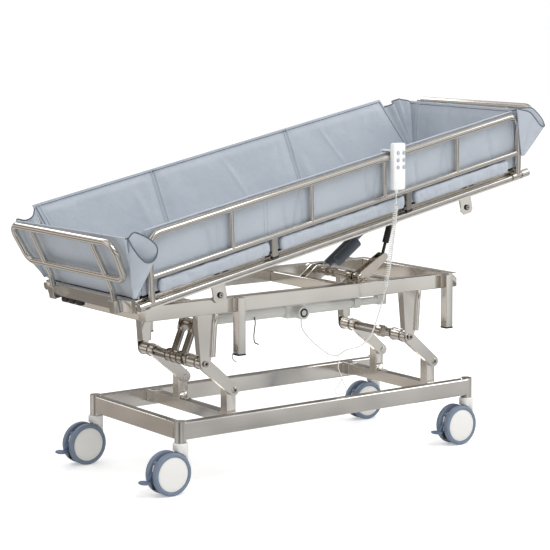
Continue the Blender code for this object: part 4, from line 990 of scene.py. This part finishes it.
turns = [2 * math.pi * k / 10 for k in range(10)]
cone_mouth = near_places(((-0.028, 0.004, 0.267), (-0.007, 0.006, 0.283), (0.017, 0.010, 0.272),
                          (0.046, 0.020, 0.249), (0.067, 0.028, 0.220), (0.066, 0.030, 0.192),
                          (0.047, 0.036, 0.175), (0.017, 0.040, 0.179), (-0.003, 0.034, 0.200),
                          (-0.020, 0.018, 0.236)))
cone_foot = near_places([(-0.014 + 0.005 * math.cos(2.6 - a), 0.001 + 0.005 * math.sin(a), 0.042)
                         for a in turns])
pocket_mouth = near_places(((1.742, 0.018, 0.288), (1.804, 0.022, 0.261), (1.828, 0.030, 0.232),
                            (1.854, 0.034, 0.197), (1.882, 0.026, 0.183), (1.898, 0.012, 0.182),
                            (1.890, 0.006, 0.206), (1.866, 0.004, 0.236), (1.836, 0.004, 0.263),
                            (1.790, 0.006, 0.276)))
pocket_foot = near_places([(1.779 + 0.008 * math.cos(a + 2.6), 0.019 - 0.004 * math.sin(a + 2.6), 0.088)
                           for a in turns])
for name, mouth, foot, bulge in (("cone_foot_near", cone_mouth, cone_foot, 0.004),
                                 ("pocket_head_near", pocket_mouth, pocket_foot, 0.001)):
    mesh, rim = rolled(name, mouth, foot, bulge)
    made = finished(name, mesh, vinyl, "guard_near", "vinyl")
    hem = finished(name + "_edging", tube("dark_piping_and_groove_shade", rim, 0.0024, 3, True), dark_piping_and_groove_shade, "guard_near", "vinyl")
    hem.data.shade_smooth()
    area = sum(f.area for f in mesh.polygons) / 2
    print(name, round(area * 10000), "cm2")

# %% [markdown]
# ## Castors
# Each castor is a twin wheel: two tyres moulded round ivory discs, an ivory fork with a grey-blue core
# between them, and an oval pedal. Wheels are turned shapes, so a profile is swept round.

# %% A turned shape
def turned(name, profile, centre, steps=96):
    """Sweep (radius, place along Y, material index) round a Y axis through the centre."""
    bm = bmesh.new()
    rings = []
    for r, y, mark in profile:
        if r < 0.00001:
            rings.append([bm.verts.new((centre[0], centre[1] + y, centre[2]))])
            continue
        angles = [2 * math.pi * k / steps for k in range(steps)]
        rings.append([bm.verts.new((centre[0] + r * math.cos(a), centre[1] + y, centre[2] + r * math.sin(a)))
                      for a in angles])
    for ring, follow, (r, y, mark) in zip(rings, rings[1:], profile[1:]):
        for k in range(steps):
            n = (k + 1) % steps
            loop = [ring[k % len(ring)], ring[n % len(ring)]]
            loop += [follow[n % len(follow)], follow[k % len(follow)]]
            face = bm.faces.new(list(dict.fromkeys(loop)))
            face.material_index = mark
    bmesh.ops.recalc_face_normals(bm, faces=bm.faces)
    return meshed(bm, name, 38)


def arc(centre, r, start, end, mark, steps=6):
    """Points of a round shoulder of a profile, angles in degrees."""
    out = []
    for k in range(steps + 1):
        a = math.radians(start + (end - start) * k / steps)
        out.append((centre[0] + r * math.cos(a), centre[1] + r * math.sin(a), mark))
    return out


WHEEL_R = 0.075
half = [(0.0, 0.0342, 1), (0.020, 0.0341, 1), (0.042, 0.0336, 1), (0.0575, 0.0322, 1), (0.0598, 0.0312, 1),
        (0.0603, 0.0300, 0), (0.0610, 0.0300, 0), (0.0616, 0.0325, 0)]
half += arc((0.0640, 0.0322), 0.0026, 175, 95, 0, 4)
half += arc((0.0672, 0.0270), 0.0078, 78, 0, 0, 8)
half += arc((0.0702, 0.0172), 0.0048, 0, -80, 0, 5)
half += [(0.0670, 0.0126, 0), (0.0600, 0.0128, 0), (0.0560, 0.0150, 0), (0.0260, 0.0150, 0),
         (0.0180, 0.0118, 0)]
wheel_profile = half + [(r, -y, m) for r, y, m in reversed(half)]
print("wheel profile has", len(wheel_profile), "points")

# %% [markdown]
# The fork keeps its own solid; the wheel and the pedal take new shapes in their solids' places.

# %% Wheels, forks and pedals
def blob(centre, half, squareness=0.6, segments=24):
    """A moulded lump: a ball whose sides are pressed flat."""
    bm = bmesh.new()
    bmesh.ops.create_uvsphere(bm, u_segments=segments, v_segments=segments // 2, radius=1.0)
    for v in bm.verts:
        pressed = [math.copysign(abs(c) ** squareness, c) * h for c, h in zip(v.co, half)]
        v.co = Vector(centre) + Vector(pressed)
    return meshed(bm, "lump")


def paddle(name, pin, tip):
    """A round pedal on a stem: the pad is a flattened ball, a little hollow on top for the toe."""
    bm = bmesh.new()
    bmesh.ops.create_uvsphere(bm, u_segments=40, v_segments=20, radius=1.0)
    for v in bm.verts:
        flat = math.copysign(abs(v.co.z) ** 0.55, v.co.z)
        hollow = -0.0014 * (1 - min(1.0, v.co.x ** 2 + v.co.y ** 2)) if v.co.z > 0 else 0.0
        v.co = Vector((tip[0] + v.co.x * 0.0195, tip[1] + v.co.y * 0.0252, tip[2] + flat * 0.0052 + hollow))
    mesh = meshed(bm, name)
    inner = tip + Vector((0.012, 0, 0.001))
    route = [pin, pin.lerp(inner, 0.5) + Vector((-0.003, 0, 0.003)), inner]
    stem = tube("stem", [spread(route, t) for t in shares(12)], 0.0052, 5)
    flatten = Matrix.Diagonal((1, 0.75, 1, 1))
    stem.transform(Matrix.Translation(pin) @ flatten @ Matrix.Translation(-pin))
    return joined(name, [mesh, stem], 50)


for tag, x, y in (("foot_near", -0.658, -0.283), ("foot_far", -0.658, 0.283),
                  ("head_near", 0.658, -0.283), ("head_far", 0.658, 0.283)):
    post = BASE + Vector((x, y, 0.0))
    centre = BASE + Vector((x - 0.050, y, WHEEL_R))
    node = "castor_wheel_" + tag
    tyres = turned(node + "_tyres", wheel_profile, centre)
    wheel = finished(node + "_tyres", tyres, tread, node, "tyre", True)
    wheel.data.materials.append(ivory)
    fork = dress("castor_fork_" + tag, ivory, 40)
    fork.data.materials.append(tread)
    for face in fork.data.polygons:
        middle = face.center
        from_post = math.hypot(middle.x - post.x, middle.y - post.y)
        from_axle = math.hypot(middle.x - centre.x, middle.z - centre.z)
        if from_post < 0.0255 and middle.z < 0.150 and abs(from_axle - 0.0785) > 0.0012:
            face.material_index = 1
    for part, offset, size, mat, slot in (
            ("castor_shoe_", (-0.0530, 0.0, -0.0400), (0.0120, 0.0080, 0.0105), rubber_and_socket_shade, "pedal"),
            ("castor_tab_", (-0.0480, 0.0, 0.0420), (0.0085, 0.0070, 0.0060), tread, "tyre")):
        lump = joined(part + tag, [blob(centre + Vector(offset), size)], 60)
        finished(part + tag, lump, mat, "castor_fork_" + tag, slot)
    pin = centre + Vector((-0.030, 0.0, 0.034))
    tip = centre + Vector((-0.098, 0.0, -0.020))
    node = "castor_pedal_" + tag
    finished(node + "_paddle", paddle(node + "_paddle", pin, tip), pedal_blue, node, "pedal", True)
print("castors made")

# %% [markdown]
# ## Handset and its keys
# The control hangs by a black hook on the guard. Its shell is rounded ABS with six soft keys, each free to
# press. A key is a turned shape with a dark ring round its middle; nothing is written on it.

# %% Handset
shell = dress("handset", abs_white, 40)
shell.data.materials.append(rubber_and_socket_shade)
hand_low, hand_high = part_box("handset")
SHELL_BACK_Y = BASE.y - 0.3855
HOOK_TOP_Z = 1.130
for face in shell.data.polygons:
    if face.center.y > SHELL_BACK_Y + 0.0004 and face.center.z < HOOK_TOP_Z:
        face.material_index = 1
soft = shell.modifiers.new("Moulded edges", "BEVEL")
soft.width = 0.0008
soft.segments = 2
soft.limit_method = "ANGLE"
soft.angle_limit = math.radians(40)
for k in range(6):
    node = "handset_button_%d" % (k + 1)
    low, high = [Vector(c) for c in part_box(node)]
    middle = (low + high) / 2
    top_y = low.y - middle.y
    back_y = high.y - middle.y
    profile = [(0.0, top_y - 0.0006, 1), (0.0013, top_y - 0.0006, 1), (0.0015, top_y - 0.0004, 0),
               (0.0046, top_y - 0.0003, 0), (0.0048, top_y - 0.0001, 1), (0.0060, top_y + 0.0001, 1),
               (0.0068, top_y + 0.0008, 0), (0.0074, top_y + 0.0022, 0), (0.0074, back_y, 1),
               (0.0, back_y, 0)]
    key = finished(node + "_key", turned(node + "_key", profile, middle, 40), key_grey, node, "button", True)
    key.data.materials.append(slate)
print("handset dressed, box", [round(v, 3) for v in hand_low], [round(v, 3) for v in hand_high])

# %% [markdown]
# ## Cords
# The curly cord is a helix about the line on which it hangs; its loops are close at rest. The lead goes on
# from it under the frame to the height actuator, a short tail loops down by the frame's leg, and two thin
# cables serve the frame's bond and the actuator's release.

# %% Cords
def even(points, spacing):
    """Evenly spaced places on the smooth curve through the route's own points."""
    parts = 160 * (len(points) - 1)
    fine = [spread(points, k / parts) for k in range(parts + 1)]
    total = sum((q - p).length for p, q in zip(fine, fine[1:]))
    count = max(2, round(total / spacing))
    out = [fine[0]]
    travelled = 0.0
    for p, q in zip(fine, fine[1:]):
        travelled += (q - p).length
        if travelled >= total / count * len(out) - 1e-9 and len(out) < count:
            out.append(q)
    return out + [fine[-1]], total


def wire(name, points, r, mat, node, slot, across=None, far_end="object", stiffness="medium", lay="loose"):
    """A cord along its points. When bodies are given it rides on none of them and its place stays in its
    mesh; else it rides with the node's body.
    """
    run = sum((q - p).length for p, q in zip(points, points[1:]))
    made = finished(name, tube(name, points, r, 4), mat, None if across else node, slot)
    if across:
        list(across)
        tuple(points[0])
        tuple(points[-1])
        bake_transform(made)
    made.data.shade_smooth()
    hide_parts(node)
    tuple(points[0])
    [tuple(p) for p in points]
    print(name, "runs", round(run, 3), "m")
    return made


def local(points):
    return [Vector(p) + BASE for p in points]


white_cord = moulded("white PVC cord", ("#DDDDD8", "#E9E9E5"), (0.35, 0.45), 700.0, 0.06)
grey_cord = moulded("grey PVC cable", ("#8C8C8C", "#9A9A9A"), (0.40, 0.50), 700.0, 0.06)
# From the handset's strain relief down to the lead
hang = local([(0.2095, -0.3985, 0.9967), (0.2085, -0.3960, 0.960), (0.2060, -0.3955, 0.925),
              (0.2010, -0.3890, 0.844), (0.1950, -0.3750, 0.733), (0.1890, -0.3590, 0.640),
              (0.1880, -0.3550, 0.617)])
line, hang_length = even(hang, 0.002)
CORD_R = 0.0017
COIL_R = 0.0082
PITCH = 0.0072
TOP_LENGTH = 0.072


def along_line(travelled):
    """The place and direction on the hanging line after so much of it."""
    k = min(travelled / hang_length * (len(line) - 1), len(line) - 1.001)
    here = line[int(k)].lerp(line[int(k) + 1], k - int(k))
    return here, (line[min(int(k) + 3, len(line) - 1)] - line[max(int(k) - 3, 0)]).normalized()


curl = []
top_count = 0
angle = 0.0
travelled = 0.0
while travelled < hang_length - 0.006:
    here, way = along_line(travelled)
    wide = COIL_R * step((travelled - 0.018) / 0.040) * step((hang_length - travelled - 0.004) / 0.040)
    wide *= 1.0 - 0.18 * travelled / hang_length
    pitch = PITCH + 0.050 * (1.0 - min(1.0, wide / (0.80 * COIL_R)))
    side_way = way.cross(Vector((0, 1, 0))).normalized()
    out_way = way.cross(side_way).normalized()
    curl.append(here + (side_way * math.cos(angle) + out_way * math.sin(angle)) * wide)
    top_count += travelled < TOP_LENGTH
    onward = pitch / 14 if wide > 0.0003 else 0.004
    angle += 2 * math.pi * onward / pitch if wide > 0.0003 else 0.0
    travelled += onward
curl.append(line[-1])
print("curly cord:", round(angle / (2 * math.pi), 1), "turns,", len(curl), "points")
for name, piece, across in (("cord_curly_top", curl[:top_count], ("guard_near_side", "deck")),
                            ("cord_curly_helix", curl[top_count - 1:], ("deck", "lift_frame"))):
    wire(name, piece, CORD_R, white_cord, "cord_curly", "white_cord", across, stiffness="limp", lay="hanging")

away = (line[-1] - line[-9]).normalized()
motor_low = Vector((-0.056, -0.176, 0.5307))
lead = [line[-1] + away * 0.0006 - BASE, line[-1] + away * 0.014 - BASE, (0.1870, -0.3450, 0.590),
        (0.1670, -0.3300, 0.508), (0.1530, -0.3180, 0.464), (0.1310, -0.3050, 0.438),
        (0.1100, -0.2950, 0.427), (0.0750, -0.2780, 0.418), (0.0530, -0.2550, 0.398),
        (0.0300, -0.2400, 0.400), (0.0120, -0.2300, 0.412), (-0.0290, -0.2050, 0.452),
        (-0.0530, -0.1830, 0.492), motor_low + Vector((0.0, 0.0, -0.014)), motor_low]
tail = [(0.0530, -0.2572, 0.3956), (0.0520, -0.2640, 0.380), (0.0480, -0.2640, 0.355),
        (0.0560, -0.2630, 0.336), (0.0670, -0.2620, 0.312), (0.0510, -0.2620, 0.287),
        (0.0365, -0.2600, 0.270), (0.0420, -0.2600, 0.257), (0.0640, -0.2600, 0.253),
        (0.0840, -0.2600, 0.257), (0.0890, -0.2590, 0.270), (0.0800, -0.2570, 0.290),
        (0.0725, -0.2560, 0.309)]
bond = [(-0.4374, -0.3000, 0.4700), (-0.4464, -0.3000, 0.4670), (-0.4514, -0.3000, 0.4560),
        (-0.4454, -0.2990, 0.4420), (-0.4314, -0.2970, 0.4320)]
release = [(-0.2350, -0.1315, 0.5490), (-0.2400, -0.1430, 0.530), (-0.2580, -0.1600, 0.491),
           (-0.2600, -0.1680, 0.466), (-0.2440, -0.1700, 0.457)]
for node, points, spacing, r, mat, slot, manner in (
        ("cord_lead", lead, 0.006, 0.0025, white_cord, "white_cord", {"lay": "hanging"}),
        ("cord_tail", tail, 0.003, 0.0016, white_cord, "white_cord", {"stiffness": "limp"}),
        ("cord_bond", bond, 0.003, 0.0020, grey_cord, "grey_cord", {"far_end": "bare"}),
        ("cord_release", release, 0.003, 0.0022, rubber_and_socket_shade, "black_cord", {"far_end": "bare"})):
    wire(node + "_run", even(local(points), spacing)[0], r, mat, node, slot, **manner)

# %% [markdown]
# ## Small hardware
# What is left is what a fitter adds last: black seals on the torque tubes, bolts with hexagon sockets, caps
# in the open ends of the legs, the straps that carry the guards, and the rubber stops under the foot rail.

# %% Black seals and collars
def sealed(name, pivot, spans):
    """Blacken a solid's seals: the faces that stand out from the tube within the spans."""
    mesh = bpy.data.objects[name].data
    mesh.materials.append(rubber_and_socket_shade)
    count = 0
    for face in mesh.polygons:
        away = math.hypot(face.center.x - pivot.x, face.center.z - pivot.z)
        if BOSS_R < away < SEAL_R + 0.001 and any(a < face.center.y < b for a, b in spans):
            face.material_index = len(mesh.materials) - 1
            count += 1
    print(name, count, "faces black")


ARM_FACES = (-0.2595, 0.0480)
BOSS_R = 0.0225
SEAL_R = 0.0245
SEAL_T = 0.005
LEVER_Y = -0.110
LEVER_PITCH = 0.064
TOP_PIVOTS = {"left": Vector((-0.553, 0.0, 0.437)) + BASE, "right": Vector((0.373, 0.0, 0.437)) + BASE}
for end, pivot in TOP_PIVOTS.items():
    for side, face_y in (("near", ARM_FACES[0]), ("far", ARM_FACES[1])):
        y = face_y + BASE.y
        spans = ((y + 0.0095, y + 0.0105 + SEAL_T), (y + 0.0685 - SEAL_T, y + 0.0695))
        sealed("lift_arm_%s_%s_skin" % (end, side), pivot, spans)
hub_half = LEVER_PITCH / 2 + 0.024
spans = []
for k in (-1.0, -0.34, 0.34, 1.0):
    y = LEVER_Y + k * (hub_half - SEAL_T / 2) + BASE.y
    spans.append((y - SEAL_T / 2 - 0.0003, y + SEAL_T / 2 + 0.0003))
sealed("lift_tube_left_skin", TOP_PIVOTS["left"], spans)

# %% [markdown]
# Bolts stand where the photograph shows them: at the arms' pivots, on the deck's ears and on the motor's end.

# %% Bolts and discs
def bolts(name, places, direction, r, node, washer=0.0, proud=0.0030):
    """Bolt heads with a hexagon socket, all pointing one way; a black hexagon standing just proud in each is
    painted shade of the socket's recess.
    """
    way_out = Vector(direction).normalized()
    middle = [Vector(p) + way_out * (proud / 2 - 0.0005) for p in places]
    shapes = [(rods("heads", middle, r, proud + 0.001, direction, bright_steel, 28), bright_steel),
              # Painted shade: the black hexagon stands for the shadow down inside the socket.
              (rods("painted_socket_shade", middle, r * 0.55, proud + 0.0012, direction, rubber_and_socket_shade, 6), rubber_and_socket_shade)]
    if washer:
        under = [Vector(p) + way_out * 0.0005 for p in places]
        shapes.append((rods("washers", under, washer, 0.0010, direction, rubber_and_socket_shade, 28), rubber_and_socket_shade))
    return fitted(name, shapes, node, "stainless")


NEAR_HEAD_Y = -0.2820
TOP_HEAD_Y = -0.2875
EAR_Y = 0.2970
SLOT_Y = 0.3032
for end, x in (("left", -0.426), ("right", 0.500)):
    head = Vector((x, NEAR_HEAD_Y, 0.329)) + BASE
    bolts("bolt_low_" + end, [head], (0, -1, 0), 0.0090, "base_cross_" + end, proud=0.0002)
for end, x in (("left", -0.553), ("right", 0.373)):
    head = Vector((x, TOP_HEAD_Y, 0.437)) + BASE
    bolts("bolt_high_" + end, [head], (0, -1, 0), 0.0110, "frame_rail_near")
for side, sign in (("near", -1), ("far", 1)):
    ears = [on_deck(s, sign * EAR_Y, -0.060) for s in (0.345, 1.512)]
    bolts("bolt_ear_" + side, ears, (0, sign, 0), 0.0075, "deck_side_" + side, 0.0105)
disc = Vector((-0.054, -0.190, 0.556)) + BASE
rings = [(rods("ring", [disc + Vector((0, -0.0004, 0))], 0.0165, 0.0010, (0, 1, 0), rubber_and_socket_shade, 40), rubber_and_socket_shade),
         (rods("plug", [disc + Vector((0, -0.0007, 0))], 0.0100, 0.0014, (0, 1, 0), housing, 40), housing)]
fitted("motor_end_ring", rings, "lift_actuator", "grey_metal")
print("bolts made")

# %% [markdown]
# Small blocks with soft edges make the rest; those on the deck and the guards turn with them.

# %% Caps, straps and stops
def block(centre, size, along=None, edge=0.0012):
    """A small block with soft edges, turned with the deck when asked."""
    bm = bmesh.new()
    bmesh.ops.create_cube(bm, size=1.0)
    bmesh.ops.scale(bm, vec=size, verts=bm.verts)
    bmesh.ops.bevel(bm, geom=list(bm.edges), offset=edge, segments=2, affect="EDGES")
    mesh = meshed(bm, "block")
    if along is not None:
        mesh.transform(along)
    mesh.transform(Matrix.Translation(Vector(centre)))
    return mesh


DECK_TURN = Matrix.Rotation(-TILT, 4, "Y")
for side, sign in (("near", -1), ("far", 1)):
    turn = DECK_TURN @ Matrix.Rotation(-sign * LEAN, 4, "X")
    straps = []
    for s in (0.5800, 1.2085):
        for t, size, mat in ((0.050, (0.026, 0.010, 0.086), tube_steel),
                             (0.014, (0.032, 0.0140, 0.010), rubber_and_socket_shade)):
            straps.append((block(on_guard(sign, s, 0.0, t), size, turn, 0.0025), mat))
    fitted("guard_straps_" + side, straps, "guard_" + side, "stainless")
    feet = [(block(Vector((x, sign * 0.300, 0.4590)) + BASE, (0.0350, 0.0350, 0.0050)), rubber_and_socket_shade)
            for x in (-0.420, 0.542)]
    fitted("leg_caps_" + side, feet, "frame_rail_" + side, "black_plastic")
stops = [(blob(on_deck(-0.004, y, -0.0290), (0.0100, 0.0215, 0.0095), 0.5), rubber_and_socket_shade)
         for y in (0.172, 0.122, 0.072)]
fitted("rail_stops_foot", stops, "deck_end_foot", "black_plastic", 60)
slots = []
for s in (0.340, 0.376, 1.507, 1.543):
    slots.append((block(on_deck(s, -SLOT_Y, 0.0195), (0.026, 0.0012, 0.0030), DECK_TURN, 0.0004), rubber_and_socket_shade))
fitted("deck_slots_near", slots, "deck_side_near", "black_plastic")
print("caps, straps and stops made")
